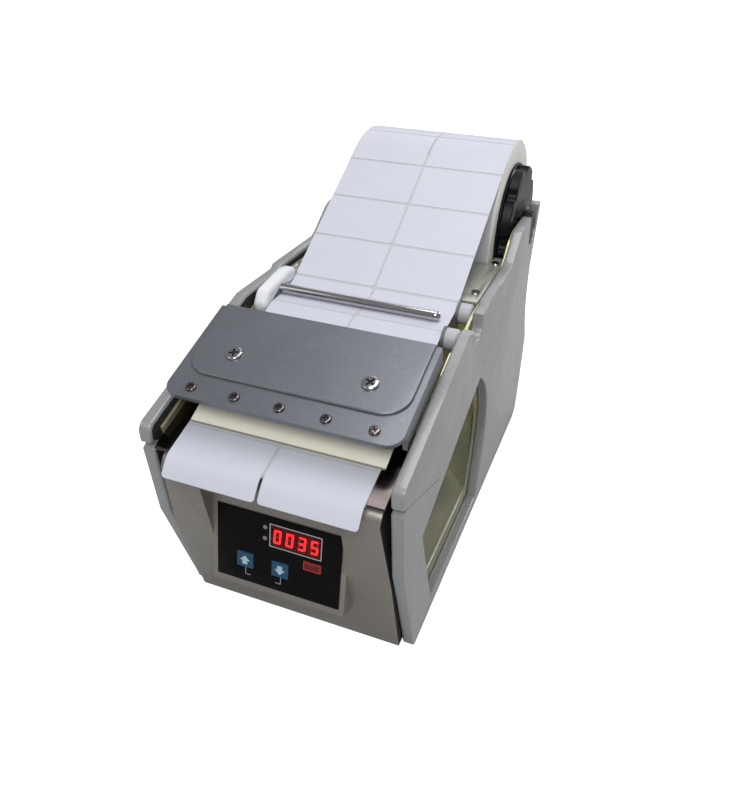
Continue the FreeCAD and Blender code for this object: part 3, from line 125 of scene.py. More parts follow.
def soften(piece, width, segments=3, sharp=32, chosen=None, shortest=0):
    """Rounds the edges that are sharper than so many degrees, or those of them that are chosen or long."""
    mesh = to_edit(piece)
    for edge in mesh.edges:
        if (len(edge.link_faces) == 2 and edge.calc_face_angle() > math.radians(sharp)
                and edge.calc_length() >= shortest * MM):
            middle = (edge.verts[0].co + edge.verts[1].co) / 2
            if chosen is None or chosen(middle):
                edge.select_set(True)
    bmesh.update_edit_mesh(piece.data)
    bpy.ops.mesh.bevel(offset=width * MM, offset_type="OFFSET", segments=segments, profile=0.5,
                       loop_slide=False, clamp_overlap=True)
    from_edit()
    return piece


def smooth(piece, angle=38):
    only(piece)
    bpy.ops.object.shade_smooth_by_angle(angle=math.radians(angle))


def set_in(piece, node, material, stands_for=True):
    """Puts a finished piece on the body of a node, with the given finish, in place of the node when it stands
    for it.
    """
    smooth(piece)
    piece.data.materials.clear()
    piece.data.materials.append(material)
    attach(piece, BODY_OF[node])
    if stands_for:
        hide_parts(node)
    return piece


def cut_outline(name, points, thick, spot, bottom=0.0):
    """A flat piece cut to an outline of (u, v) points and laid where spot(u, v, w) puts it, all in mm."""
    bpy.ops.object.select_all(action="DESELECT")
    bpy.ops.mesh.primitive_circle_add(vertices=len(points), radius=0.01, fill_type="NGON")
    piece = bpy.context.object
    piece.name = name
    for vertex, (u, v) in zip(piece.data.vertices, points):
        vertex.co = (u * MM, v * MM, bottom * MM)
    to_edit(piece, "FACE")
    bpy.ops.mesh.select_all(action="SELECT")
    bpy.ops.mesh.extrude_region_move(TRANSFORM_OT_translate={"value": (0, 0, thick * MM)})
    bpy.ops.mesh.select_all(action="SELECT")
    bpy.ops.mesh.normals_make_consistent(inside=False)
    from_edit()
    lay(piece, spot)
    return piece


def lay(piece, spot):
    for vertex in piece.data.vertices:
        u, v, w = (number / MM for number in vertex.co)
        vertex.co = spot(u, v, w)
    piece.data.update()


def as_drawn(u, v, w):
    return Vector((u, v, w)) * MM


def joined(name, pieces):
    only(*pieces)
    bpy.ops.object.join()
    piece = bpy.context.view_layer.objects.active
    piece.name = name
    return piece


def round_rectangle(left, right, low, high, radius, steps=6):
    points = []
    for x, y, start in ((right - radius, low + radius, -90), (right - radius, high - radius, 0),
                        (left + radius, high - radius, 90), (left + radius, low + radius, 180)):
        for step in range(steps + 1):
            angle = math.radians(start + 90 * step / steps)
            points.append((x + radius * math.cos(angle), y + radius * math.sin(angle)))
    return points


# Places on the machine, in mm from the two slopes' own corners

COVER_OUTSIDE, COVER_INSIDE = 69.0, 62.5
PANEL_LEAN = math.radians(8.64)
PANEL_CORNER = (-149.65, 43.9)
LID_SLOPE = math.radians(18.8)
LID_CORNER = (-81.85, 168.4)


def on_panel(u, v, w):
    """u across, v up the control panel, w out of it."""
    s, c = math.sin(PANEL_LEAN), math.cos(PANEL_LEAN)
    return Vector((u, PANEL_CORNER[0] + v * s - w * c, PANEL_CORNER[1] + v * c + w * s)) * MM


def on_lid(u, v, w):
    """u across, v up the slope of the top cover, w out of it."""
    s, c = math.sin(LID_SLOPE), math.cos(LID_SLOPE)
    return Vector((u, LID_CORNER[0] + v * c - w * s, LID_CORNER[1] + v * s + w * c)) * MM


def from_lid(point):
    """The u, v and w that on_lid puts at this point."""
    s, c = math.sin(LID_SLOPE), math.cos(LID_SLOPE)
    across, back, up = point.x / MM, point.y / MM - LID_CORNER[0], point.z / MM - LID_CORNER[1]
    return across, back * c + up * s, up * c - back * s


# Surface effects, each a shader node group that several finishes use

def node_group(name, inputs, outputs):
    group = bpy.data.node_groups.new(name, "ShaderNodeTree")
    for label, kind, value in inputs:
        socket = group.interface.new_socket(label, in_out="INPUT", socket_type="NodeSocket" + kind)
        if value is not None:
            socket.default_value = value
    for label, kind in outputs:
        group.interface.new_socket(label, in_out="OUTPUT", socket_type="NodeSocket" + kind)
    start = group.nodes.new("NodeGroupInput")
    end = group.nodes.new("NodeGroupOutput")
    return group, start, end


class Wiring:
    """Adds and links nodes of one tree."""

    def __init__(self, tree):
        self.tree = tree

    def add(self, kind, inputs=(), **values):
        node = self.tree.nodes.new("ShaderNode" + kind)
        for name, value in values.items():
            setattr(node, name, value)
        for name, value in dict(inputs).items():
            socket = node.inputs[name]
            if isinstance(value, bpy.types.NodeSocket):
                self.tree.links.new(value, socket)
            else:
                socket.default_value = value
        return node

    def link(self, source, target):
        self.tree.links.new(source, target)

    def noise(self, vector, scale, detail=3.0, rough=0.5):
        return self.add("TexNoise", {"Vector": vector, "Scale": scale, "Detail": detail, "Roughness": rough})

    def blend(self, share, first, second, how="MIX"):
        node = self.add("Mix", data_type="RGBA", blend_type=how)
        for socket, value in ((node.inputs[0], share), (node.inputs[6], first), (node.inputs[7], second)):
            if isinstance(value, bpy.types.NodeSocket):
                self.link(value, socket)
            else:
                socket.default_value = value
        return node.outputs[2]

    def span(self, value, low, high, first, second):
        node = self.add("MapRange", {"Value": value, "From Min": low, "From Max": high, "To Min": first,
                                     "To Max": second})
        return node.outputs["Result"]

    def sums(self, how, first, second):
        node = self.add("Math", operation=how)
        for socket, value in ((node.inputs[0], first), (node.inputs[1], second)):
            if isinstance(value, bpy.types.NodeSocket):
                self.link(value, socket)
            else:
                socket.default_value = value
        return node.outputs[0]


def flake_paint():
    """Metallic paint: bright flakes in the colour, cloudy roughness and a faint orange peel."""
    group, start, end = node_group("flake_paint", [
        ("Vector", "Vector", None),
        ("Paint", "Color", (0.3, 0.3, 0.3, 1)), ("Flake", "Color", (0.5, 0.5, 0.5, 1)),
        ("Flake Share", "Float", 0.35), ("Gloss", "Float", 0.4)],
        [("Color", "Color"), ("Roughness", "Float"), ("Height", "Float")])
    w = Wiring(group)
    place = start.outputs["Vector"]
    flakes = w.add("TexVoronoi", {"Vector": place, "Scale": 3200.0})
    bright = w.span(flakes.outputs["Color"], 0.35, 0.95, 0.0, 1.0)
    share = w.sums("MULTIPLY", bright, start.outputs["Flake Share"])
    cloud = w.noise(place, 16.0, 4.0, 0.55).outputs[0]
    tone = w.blend(share, start.outputs["Paint"], start.outputs["Flake"])
    shade = w.add("HueSaturation", {"Color": tone, "Value": w.span(cloud, 0.3, 0.7, 0.955, 1.035)})
    w.link(shade.outputs[0], end.inputs["Color"])
    smear = w.noise(place, 55.0, 5.0, 0.6).outputs[0]
    gloss = w.sums("ADD", start.outputs["Gloss"], w.span(smear, 0.3, 0.7, -0.035, 0.06))
    w.link(gloss, end.inputs["Roughness"])
    peel = w.noise(place, 900.0, 2.0, 0.5).outputs[0]
    w.link(peel, end.inputs["Height"])
    return group


def worn_edges():
    """A mask of the convex edges, broken up as handling wears them."""
    group, start, end = node_group("worn_edges", [("Vector", "Vector", None), ("Reach", "Float", 0.06)],
                                   [("Mask", "Float")])
    w = Wiring(group)
    point = w.add("NewGeometry").outputs["Pointiness"]
    rub = w.noise(start.outputs["Vector"], 260.0, 5.0, 0.65).outputs[0]
    top = w.sums("ADD", 0.5, start.outputs["Reach"])
    edge = w.add("MapRange", {"Value": point, "From Min": 0.505, "From Max": top, "To Min": 0.0, "To Max": 1.0})
    mask = w.sums("MULTIPLY", edge.outputs[0], w.span(rub, 0.42, 0.62, 0.15, 1.0))
    w.link(mask, end.inputs["Mask"])
    return group


def moulded_grain():
    """Fine grain of a plastic mould, faint flow marks and a little settled dust."""
    group, start, end = node_group("moulded_grain", [
        ("Vector", "Vector", None),
        ("Plastic", "Color", (0.1, 0.1, 0.1, 1)), ("Dust", "Color", (0.4, 0.4, 0.4, 1)),
        ("Dustiness", "Float", 0.05), ("Gloss", "Float", 0.45)],
        [("Color", "Color"), ("Roughness", "Float"), ("Height", "Float")])
    w = Wiring(group)
    place = start.outputs["Vector"]
    flow = w.noise(place, 22.0, 4.0, 0.5).outputs[0]
    specks = w.noise(place, 700.0, 3.0, 0.7).outputs[0]
    dust = w.sums("MULTIPLY", w.span(specks, 0.45, 0.75, 0.0, 1.0), start.outputs["Dustiness"])
    tone = w.blend(dust, start.outputs["Plastic"], start.outputs["Dust"])
    shade = w.add("HueSaturation", {"Color": tone, "Value": w.span(flow, 0.3, 0.7, 0.94, 1.05)})
    w.link(shade.outputs[0], end.inputs["Color"])
    w.link(w.sums("ADD", start.outputs["Gloss"], w.span(flow, 0.3, 0.7, -0.05, 0.07)), end.inputs["Roughness"])
    w.link(w.noise(place, 2600.0, 2.0, 0.6).outputs[0], end.inputs["Height"])
    return group


def zinc_bloom():
    """Yellow passivated zinc: clouds that run from straw over pink to green, and fine rolling lines."""
    group, start, end = node_group("zinc_bloom", [
        ("Vector", "Vector", None), ("Bloom", "Float", 1.0)],
        [("Color", "Color"), ("Roughness", "Float"), ("Height", "Float")])
    w = Wiring(group)
    place = start.outputs["Vector"]
    cloud = w.noise(place, 21.0, 3.0, 0.6)
    cloud.inputs["Distortion"].default_value = 1.4
    ramp = w.add("ValToRGB", {"Fac": cloud.outputs[0]})
    stops = ramp.color_ramp.elements
    stops[0].position, stops[0].color = 0.30, (0.46, 0.52, 0.34, 1)
    stops[1].position, stops[1].color = 0.72, (0.66, 0.72, 0.62, 1)
    for position, colour in ((0.42, (0.66, 0.60, 0.30, 1)), (0.52, (0.68, 0.66, 0.44, 1)),
                             (0.62, (0.66, 0.54, 0.48, 1))):
        stop = stops.new(position)
        stop.color = colour
    plain = w.blend(start.outputs["Bloom"], (0.56, 0.58, 0.53, 1), ramp.outputs[0])
    w.link(plain, end.inputs["Color"])
    stretched = w.add("Mapping", {"Vector": place, "Scale": (1.0, 0.04, 1.0)})
    lines = w.noise(stretched.outputs[0], 1400.0, 2.0, 0.5).outputs[0]
    w.link(w.span(lines, 0.2, 0.8, 0.29, 0.36), end.inputs["Roughness"])
    w.link(lines, end.inputs["Height"])
    return group


def paper_fibre():
    """Coated paper: faint fibres and clouds."""
    group, start, end = node_group("paper_fibre", [
        ("Vector", "Vector", None),
        ("Paper", "Color", (0.8, 0.8, 0.85, 1)), ("Shade", "Color", (0.7, 0.7, 0.74, 1)),
        ("Gloss", "Float", 0.5)], [("Color", "Color"), ("Roughness", "Float"), ("Height", "Float")])
    w = Wiring(group)
    place = start.outputs["Vector"]
    cloud = w.noise(place, 60.0, 4.0, 0.6).outputs[0]
    fibre = w.noise(place, 1800.0, 4.0, 0.7).outputs[0]
    share = w.sums("MULTIPLY", w.span(cloud, 0.35, 0.7, 0.0, 1.0), w.span(fibre, 0.35, 0.65, 0.3, 1.0))
    w.link(w.blend(share, start.outputs["Paper"], start.outputs["Shade"]), end.inputs["Color"])
    w.link(w.sums("ADD", start.outputs["Gloss"], w.span(fibre, 0.3, 0.7, -0.06, 0.06)), end.inputs["Roughness"])
    w.link(fibre, end.inputs["Height"])
    return group


def turned_rings():
    """Rings round an axis along X through the vector's origin: tool marks or the edges of wound layers."""
    group, start, end = node_group("turned_rings", [("Vector", "Vector", None), ("Pitch", "Float", 0.0004)],
                                   [("Ring", "Float"), ("Around", "Float")])
    w = Wiring(group)
    parts = w.add("SeparateXYZ", {"Vector": start.outputs["Vector"]})
    flat = w.add("CombineXYZ", {"Y": parts.outputs["Y"], "Z": parts.outputs["Z"]})
    radius = w.add("VectorMath", {0: flat.outputs[0]}, operation="LENGTH").outputs["Value"]
    turn = w.sums("DIVIDE", radius, start.outputs["Pitch"])
    ring = w.add("CombineXYZ", {"X": turn})
    w.link(w.add("TexNoise", {"Vector": ring.outputs[0], "Scale": 1.0, "Detail": 4.0}).outputs[0],
           end.inputs["Ring"])
    w.link(w.noise(start.outputs["Vector"], 45.0, 3.0, 0.5).outputs[0], end.inputs["Around"])
    return group


GROUPS = {made.name: made for made in (flake_paint(), worn_edges(), moulded_grain(), zinc_bloom(),
                                       paper_fibre(), turned_rings())}


def new_finish(name, **constants):
    """A material whose shader takes these values on its own sockets."""
    material = bpy.data.materials.new(name)
    material.use_nodes = True
    w = Wiring(material.node_tree)
    shader = material.node_tree.nodes["Principled BSDF"]
    for socket, value in constants.items():
        shader.inputs[socket.replace("_", " ")].default_value = value
    place = w.add("TexCoord").outputs["Object"]
    return material, w, shader, place


def effect(w, name, place, **values):
    node = w.add("Group", node_tree=GROUPS[name])
    w.link(place, node.inputs["Vector"])
    for socket, value in values.items():
        node.inputs[socket.replace("_", " ")].default_value = value
    return node


def relief(w, shader, height, depth, spread=0.0002):
    bump = w.add("Bump", {"Strength": depth, "Distance": spread, "Height": height})
    w.link(bump.outputs[0], shader.inputs["Normal"])


def paint(name, colour, flake, share, gloss, metallic, rub=0.3, peel=0.08, coat=0.35):
    material, w, shader, place = new_finish(name, Metallic=metallic, Coat_Weight=coat, Coat_Roughness=0.07)
    surface = effect(w, "flake_paint", place, Paint=colour, Flake=flake, Flake_Share=share, Gloss=gloss)
    wear = effect(w, "worn_edges", place, Reach=0.09)
    lighter = tuple(min(1.0, number * 1.35 + 0.03) for number in colour[:3]) + (1,)
    share = w.sums("MULTIPLY", wear.outputs[0], rub)
    w.link(w.blend(share, surface.outputs["Color"], lighter), shader.inputs["Base Color"])
    w.link(surface.outputs["Roughness"], shader.inputs["Roughness"])
    relief(w, shader, surface.outputs["Height"], peel)
    return material


def plastic(name, colour, gloss, dust=0.05, dust_colour=(0.35, 0.35, 0.35, 1), grain=0.12, **constants):
    material, w, shader, place = new_finish(name, **constants)
    surface = effect(w, "moulded_grain", place, Plastic=colour, Dust=dust_colour, Dustiness=dust, Gloss=gloss)
    w.link(surface.outputs["Color"], shader.inputs["Base Color"])
    w.link(surface.outputs["Roughness"], shader.inputs["Roughness"])
    relief(w, shader, surface.outputs["Height"], grain, 0.0001)
    return material


def zinc(name, bloom, bright=1.0):
    material, w, shader, place = new_finish(name, Metallic=0.7)
    surface = effect(w, "zinc_bloom", place)
    height = w.add("SeparateXYZ", {"Vector": place}).outputs["Z"]
    w.link(w.span(height, 0.035, 0.085, bloom * 0.3, bloom), surface.inputs["Bloom"])
    tone = w.add("HueSaturation", {"Color": surface.outputs["Color"], "Value": bright})
    w.link(tone.outputs[0], shader.inputs["Base Color"])
    w.link(surface.outputs["Roughness"], shader.inputs["Roughness"])
    relief(w, shader, surface.outputs["Height"], 0.03, 0.0001)
    return material


def paper(name, colour, shade, gloss, **constants):
    material, w, shader, place = new_finish(name, **constants)
    surface = effect(w, "paper_fibre", place, Paper=colour, Shade=shade, Gloss=gloss)
    w.link(surface.outputs["Color"], shader.inputs["Base Color"])
    w.link(surface.outputs["Roughness"], shader.inputs["Roughness"])
    relief(w, shader, surface.outputs["Height"], 0.1, 0.00008)
    return material


def bright_metal(name, colour, gloss, smears=0.06, along=(30.0, 900.0, 900.0), streaks=0.15):
    """Ground or plated metal with fine streaks and a few finger marks."""
    material, w, shader, place = new_finish(name, Metallic=1.0)
    lines = w.noise(w.add("Mapping", {"Vector": place, "Scale": along}).outputs[0], 1.0, 3.0, 0.6).outputs[0]
    marks = w.noise(place, 70.0, 4.0, 0.6).outputs[0]
    darker = tuple(number * (1 - streaks) for number in colour[:3]) + (1,)
    w.link(w.blend(w.span(lines, 0.3, 0.7, 0.0, 1.0), colour, darker), shader.inputs["Base Color"])
    rough = w.sums("ADD", w.span(lines, 0.3, 0.7, gloss * 0.8, gloss * 1.2),
                   w.span(marks, 0.45, 0.75, 0.0, smears))
    w.link(rough, shader.inputs["Roughness"])
    relief(w, shader, lines, 0.05, 0.00005)
    return material


def wound_paper():
    """The roll: white on the outside, with the edges of its layers as rings on the two ends."""
    material, w, shader, place = new_finish("wound_paper", Roughness=0.6)
    centred = w.add("Mapping", {"Vector": place, "Location": (0, -0.10825, -0.171)}).outputs[0]
    rings = effect(w, "turned_rings", centred, Pitch=0.00055)
    surface = effect(w, "paper_fibre", place, Paper=(0.50, 0.51, 0.54, 1), Shade=(0.47, 0.48, 0.51, 1),
                     Gloss=0.5)
    ends = w.add("NewGeometry").outputs["Normal"]
    side = w.add("SeparateXYZ", {"Vector": ends}).outputs["X"]
    facing = w.sums("ABSOLUTE", side, 0.0)
    layers = w.blend(w.span(rings.outputs["Ring"], 0.35, 0.65, 0.0, 1.0), (0.90, 0.88, 0.84, 1),
                     (0.74, 0.72, 0.67, 1))
    on_end = w.span(facing, 0.4, 0.7, 0.0, 1.0)
    w.link(w.blend(on_end, surface.outputs["Color"], layers), shader.inputs["Base Color"])
    w.link(surface.outputs["Roughness"], shader.inputs["Roughness"])
    relief(w, shader, w.sums("MULTIPLY", rings.outputs["Ring"], on_end), 0.35, 0.0002)
    return material


def glow(name, colour, strength, plain):
    """A lit or unlit part of the display, a little cloudy as behind red glass."""
    material, w, shader, place = new_finish(name, Roughness=0.4, Emission_Strength=strength)
    cloud = w.noise(place, 900.0, 2.0, 0.5).outputs[0]
    dim = tuple(number * 0.75 for number in colour[:3]) + (1,)
    w.link(w.blend(w.span(cloud, 0.35, 0.65, 0.0, 1.0), colour, dim), shader.inputs["Emission Color"])
    duller = tuple(number * 0.8 for number in plain[:3]) + (1,)
    w.link(w.blend(cloud, plain, duller), shader.inputs["Base Color"])
    return material


FINISH = {
    "cover_grey": paint("cover_paint", (0.235, 0.24, 0.245, 1), (0.42, 0.43, 0.44, 1), 0.45, 0.36, 0.12,
                        coat=0.45),
    "lid_grey": paint("lid_paint", (0.145, 0.157, 0.177, 1), (0.26, 0.275, 0.30, 1), 0.45, 0.36, 0.6),
    "housing_grey": paint("housing_paint", (0.205, 0.19, 0.172, 1), (0.35, 0.33, 0.30, 1), 0.4, 0.40, 0.4),
    "zinc": zinc("yellow_zinc", 1.0),
    # The polished plate's dark brown colour is a painted reflection of the lid's dark underside
    "stainless": bright_metal("polished_plate_painted_dark_reflection", (0.10, 0.085, 0.08, 1), 0.16, 0.1),
    "chrome": bright_metal("chrome_plate", (0.50, 0.49, 0.51, 1), 0.10, 0.05, streaks=0.05),
    "steel": bright_metal("ground_steel", (0.45, 0.45, 0.46, 1), 0.30),
    "nylon": plastic("white_nylon", (0.70, 0.715, 0.755, 1), 0.42, 0.03, Subsurface_Weight=0.12,
                     Subsurface_Radius=(0.003, 0.003, 0.003)),
    "collar": plastic("collar_nylon", (0.43, 0.44, 0.47, 1), 0.40, 0.04, Subsurface_Weight=0.12,
                      Subsurface_Radius=(0.003, 0.003, 0.003)),
    "ring_grey": plastic("ring_plastic", (0.13, 0.13, 0.15, 1), 0.45, 0.05),
    "black_plastic": plastic("black_plastic", (0.004, 0.005, 0.007, 1), 0.30, 0.008, Specular_IOR_Level=0.10),
    "rubber": plastic("foot_rubber", (0.02, 0.02, 0.02, 1), 0.7, 0.12, grain=0.3),
    "roller_rubber": plastic("roller_rubber", (0.03, 0.03, 0.033, 1), 0.6, 0.1, grain=0.3),
    "gear_plastic": plastic("gear_plastic", (0.72, 0.70, 0.62, 1), 0.45, 0.03),
    "brass": bright_metal("turned_brass", (0.70, 0.52, 0.22, 1), 0.25),
    "liner": paper("glassine_liner", (0.47, 0.48, 0.505, 1), (0.44, 0.45, 0.475, 1), 0.38),
    "label": paper("label_paper", (0.55, 0.565, 0.645, 1), (0.53, 0.545, 0.625, 1), 0.46),
    "roll": wound_paper(),
    "core": paper("core_board", (0.45, 0.34, 0.22, 1), (0.36, 0.27, 0.17, 1), 0.8),
    "film": paper("cream_film", (0.90, 0.88, 0.76, 1), (0.87, 0.85, 0.73, 1), 0.32, Alpha=0.97),
    "overlay": plastic("panel_overlay", (0.004, 0.004, 0.0045, 1), 0.30, 0.01, grain=0.02,
                       Specular_IOR_Level=0.05),
    "window": plastic("display_glass", (0.10, 0.002, 0.002, 1), 0.12, 0.0, grain=0.01, Alpha=0.30,
                      Specular_IOR_Level=0.2),
    "display": plastic("display_face", (0.11, 0.004, 0.008, 1), 0.4, 0.0),
    "lamp": plastic("lamp_lens", (0.20, 0.17, 0.17, 1), 0.25, 0.05),
    "blue_key": plastic("blue_key", (0.014, 0.066, 0.125, 1), 0.38, 0.05, Specular_IOR_Level=0.25),
    "red_key": plastic("red_key", (0.13, 0.006, 0.008, 1), 0.38, 0.05, Specular_IOR_Level=0.25),
    "board": plastic("board_mask", (0.01, 0.09, 0.04, 1), 0.35, 0.02),
}
PALE_ZINC = zinc("pale_zinc", 0.12)
# A copy of the zinc made 1.5 times brighter for the base plate seen through the window: painted light
LIT_BASE_ZINC = zinc("base_zinc_painted_light", 1.0, 1.5)
# Near-black finish that paints shade: the deep slots beside the housing and the screws' cross recesses
PAINTED_SHADE = plastic("painted_shade_dark", (0.018, 0.018, 0.019, 1), 0.6, 0.1, Specular_IOR_Level=0.2)
SMALL_SCREW = bright_metal("small_screw_plate", (0.19, 0.165, 0.165, 1), 0.14, 0.05, streaks=0.1)
OWN = {"deck_plate": PALE_ZINC, "base_plate": LIT_BASE_ZINC, "spool_shaft": FINISH["black_plastic"],
       "cover_screws_small": SMALL_SCREW}
LIT = glow("lit_segment", (1.0, 0.010, 0.014, 1), 2.4, (0.4, 0.01, 0.01, 1))
UNLIT = glow("unlit_segment", (0.30, 0.004, 0.006, 1), 0.35, (0.12, 0.005, 0.006, 1))
# Dark paper tone along the film's foot: a painted shadow line under the film's edge
FILM_EDGE_SHADOW = paper("film_edge_painted_shadow", (0.30, 0.285, 0.25, 1), (0.26, 0.25, 0.22, 1), 0.32)
PRINT = plastic("white_print", (0.40, 0.41, 0.43, 1), 0.5, 0.02)
KEY_PRINT = plastic("key_print", (0.34, 0.52, 0.60, 1), 0.4, 0.02)
RED_PRINT = plastic("red_print", (0.36, 0.035, 0.035, 1), 0.4, 0.02)


def finish_of(node):
    return OWN.get(node, FINISH[SLOT_OF[node]])


for node, piece in frame["nodes"].items():
    piece.data.materials.clear()
    piece.data.materials.append(finish_of(node))


# Pieces that keep the solid's form and get rounded edges

def rounded(node, width, segments=3):
    piece = soften(loose_copy(node, node + "_finished"), width, segments)
    return set_in(piece, node, finish_of(node))


def second_finish(piece, material, chosen):
    """Gives the faces for which chosen(middle, normal) is true a finish of their own."""
    piece.data.materials.append(material)
    for face in piece.data.polygons:
        if chosen(face.center, face.normal):
            face.material_index = 1


def parting_groove(piece, side):
    """The fine groove on the outside of a cover, from the slit of its nose to the window."""
    start, end = Vector((-149.4, 121.3)), Vector((-92.5, 98.6))
    way = end - start
    bpy.ops.object.select_all(action="DESELECT")
    bpy.ops.mesh.primitive_cube_add(size=1)
    cutter = bpy.context.object
    cutter.scale = (0.5 * MM, way.length * MM, 0.45 * MM)
    cutter.rotation_euler = (math.atan2(way.y, way.x), 0, 0)
    middle = (start + end) / 2
    cutter.location = (side * COVER_OUTSIDE * MM, middle.x * MM, middle.y * MM)
    bpy.ops.object.transform_apply(location=True, rotation=True, scale=True)
    refine(piece, "BOOLEAN", object=cutter, operation="DIFFERENCE", solver="EXACT")
    bpy.data.objects.remove(cutter)


def side_covers():
    for node, side in (("left_side_cover", -1), ("right_side_cover", 1)):
        piece = loose_copy(node, node + "_moulding")
        soften(piece, 2.6, 5, 40, lambda middle: abs(middle.x - side * COVER_OUTSIDE * MM) < 1e-5)
        soften(piece, 1.7, 4, 40, lambda middle: abs(middle.x - side * COVER_INSIDE * MM) < 1e-5)
        parting_groove(piece, side)
        set_in(piece, node, FINISH["cover_grey"])
        # The flat inner faces of the covers are painted near-black, as painted shade in the narrow slots beside
        # the housing
        second_finish(piece, PAINTED_SHADE,
                      lambda middle, normal: abs(middle.x - side * COVER_INSIDE * MM) < 1e-5)


def front_shell():
    """The housing, painted outside; its side faces in the slots beside it are painted near-black as shade."""
    piece = rounded("front_housing", 0.9)
    # Painted shade: the side faces that look into the slots get the near-black finish
    second_finish(piece, PAINTED_SHADE, lambda middle, normal: abs(normal.x) > 0.9 and abs(middle.x) > 0.057)


def sloping_cover():
    """The top cover with its wide round rim and the finer edges of its pillow."""
    piece = loose_copy("top_cover", "top_cover_moulding")

    def rim(middle):
        u, v, w = from_lid(middle)
        return abs(w) < 0.05 and (abs(u) > 61.8 or v < -55.5)

    soften(piece, 1.9, 5, 40, rim)
    soften(piece, 0.5, 3, 40)
    set_in(piece, "top_cover", FINISH["lid_grey"])
    refine(piece, "WEIGHTED_NORMAL", keep_sharp=True, weight=100)


def guide():
    """The nylon guide block, well rounded all over, and the two collars."""
    block = soften(loose_copy("guide_block", "guide_block_moulding"), 3.6, 6, 25, shortest=1.6)
    set_in(block, "guide_block", FINISH["nylon"])
    smooth(block, 60)
    collars = soften(loose_copy("guide_collars", "guide_collars_turned"), 1.9, 5)
    set_in(collars, "guide_collars", FINISH["collar"])


side_covers()
front_shell()
sloping_cover()
guide()
for node, width, segments in (("left_spool_hub", 0.9, 3),
                              ("right_spool_hub", 0.9, 3), ("control_panel", 0.2, 2), ("peel_plate", 0.3, 2),
                              ("base_plate", 0.3, 2), ("deck_plate", 0.3, 2), ("power_rocker", 0.5, 3),
                              ("switch_frame", 0.4, 2), ("power_jack", 0.3, 2), ("rubber_feet", 0.5, 3),
                              ("spool_shaft", 0.6, 3), ("rear_panel", 0.3, 2), ("motor_bracket", 0.3, 2),
                              ("gear_motor", 0.6, 3)):
    rounded(node, width, segments)


# Screws: radius and height of the heads, and their places (u, v) on the top cover

BIG_HEAD, BIG_SPOTS = (4.4, 1.5), [(36.7 * side, -32.9) for side in (-1, 1)]
SMALL_HEAD, SMALL_SPOTS = (2.8, 1.3), [(24 * step, -57.6) for step in range(-2, 3)]
PILLOW_RISE = 1.5


def screw_head(radius, rise, at, name, index):
    """A pan head on the top cover, its cross recess turned 20 degrees on from one index to the next."""
    bpy.ops.object.select_all(action="DESELECT")
    bpy.ops.mesh.primitive_cylinder_add(vertices=40, radius=radius * MM, depth=rise * MM,
                                        location=(0, 0, rise / 2 * MM))
    head = bpy.context.object
    bpy.ops.object.transform_apply(location=True, rotation=True, scale=True)
    soften(head, rise * 0.62, 4, 60, lambda middle: middle.z > rise * 0.9 * MM)
    cutters = []
    for turn in (0, 90):
        bpy.ops.object.select_all(action="DESELECT")
        bpy.ops.mesh.primitive_cube_add(size=1, location=(0, 0, rise * MM),
                                        rotation=(0, 0, math.radians(turn + 20 * index)))
        cutter = bpy.context.object
        cutter.scale = (radius * 1.15 * MM, radius * 0.28 * MM, rise * 1.1 * MM)
        bpy.ops.object.transform_apply(location=True, rotation=True, scale=True)
        cutters.append(cutter)
    for cutter in cutters:
        refine(head, "BOOLEAN", object=cutter, operation="DIFFERENCE", solver="EXACT")
        bpy.data.objects.remove(cutter)
    lay(head, lambda u, v, w: on_lid(u + at[0], v + at[1], w + at[2]))
    head.name = "%s_%d" % (name, index)
    return head


def in_recess(middle, top, radius, spots):
    """True for a face in the cross recess of a head whose top stands so high over the cover."""
    u, v, w = from_lid(middle)
    away = min(math.hypot(u - across, v - along) for across, along in spots)
    return w < top - 0.12 and away < radius * 0.64


def cover_screws():
    """The big screws on the pillow and the small ones in a row before it."""
    for name, numbers, node, (radius, rise), spots, foot, finish in (
            ("big", (1, 3), "cover_screws_large", BIG_HEAD, BIG_SPOTS, PILLOW_RISE, FINISH["chrome"]),
            ("small", range(2, 7), "cover_screws_small", SMALL_HEAD, SMALL_SPOTS, 0, SMALL_SCREW)):
        heads = [screw_head(radius, rise, (*spot, foot), name + "_screw", number)
                 for number, spot in zip(numbers, spots)]
        screws = set_in(joined(name + "_cover_screws", heads), node, finish)
        # The faces in the cross recesses get the near-black finish, as painted shade
        second_finish(screws, PAINTED_SHADE,
                      lambda middle, normal: in_recess(middle, foot + rise, radius, spots))


cover_screws()


# Control panel

SEGMENTS = {"0": "abcdef", "3": "abcdg", "5": "acdfg"}


def segment_outline(corner, length, wide, upright):
    """A bar with pointed ends, from its lower left corner."""
    x, y = corner
    half = wide / 2
    if upright:
        return [(x, y + half), (x + half, y), (x + wide, y + half), (x + wide, y + length - half),
                (x + half, y + length), (x, y + length - half)]
    return [(x + half, y), (x + length - half, y), (x + length, y + half), (x + length - half, y + wide),
            (x + half, y + wide), (x, y + half)]


def digits():
    """Four seven-segment digits in the window, which read 0035."""
    width, height, bar, low = 4.3, 8.2, 1.15, 29.1
    lit, unlit = [], []
    for index, digit in enumerate("0035"):
        left = -2.75 + 6.95 * index
        half = (height - bar) / 2
        places = {"a": ((left, low + height - bar), False), "g": ((left, low + half), False),
                  "d": ((left, low), False), "e": ((left, low + 0.35), True),
                  "c": ((left + width - bar, low + 0.35), True),
                  "f": ((left, low + half + 0.45), True), "b": ((left + width - bar, low + half + 0.45), True)}
        for letter, (corner, upright) in places.items():
            points = segment_outline(corner, half + 0.5 if upright else width, bar, upright)
            slanted = [(u + (v - low) * 0.07, v) for u, v in points]
            group = lit if letter in SEGMENTS[digit] else unlit
            group.append(cut_outline("segment", slanted, 0.06, on_panel, 0.02))
    for name, group, finish in (("lit_segments", lit, LIT), ("unlit_segments", unlit, UNLIT)):
        set_in(joined(name, group), "digit_display", finish, stands_for=False)


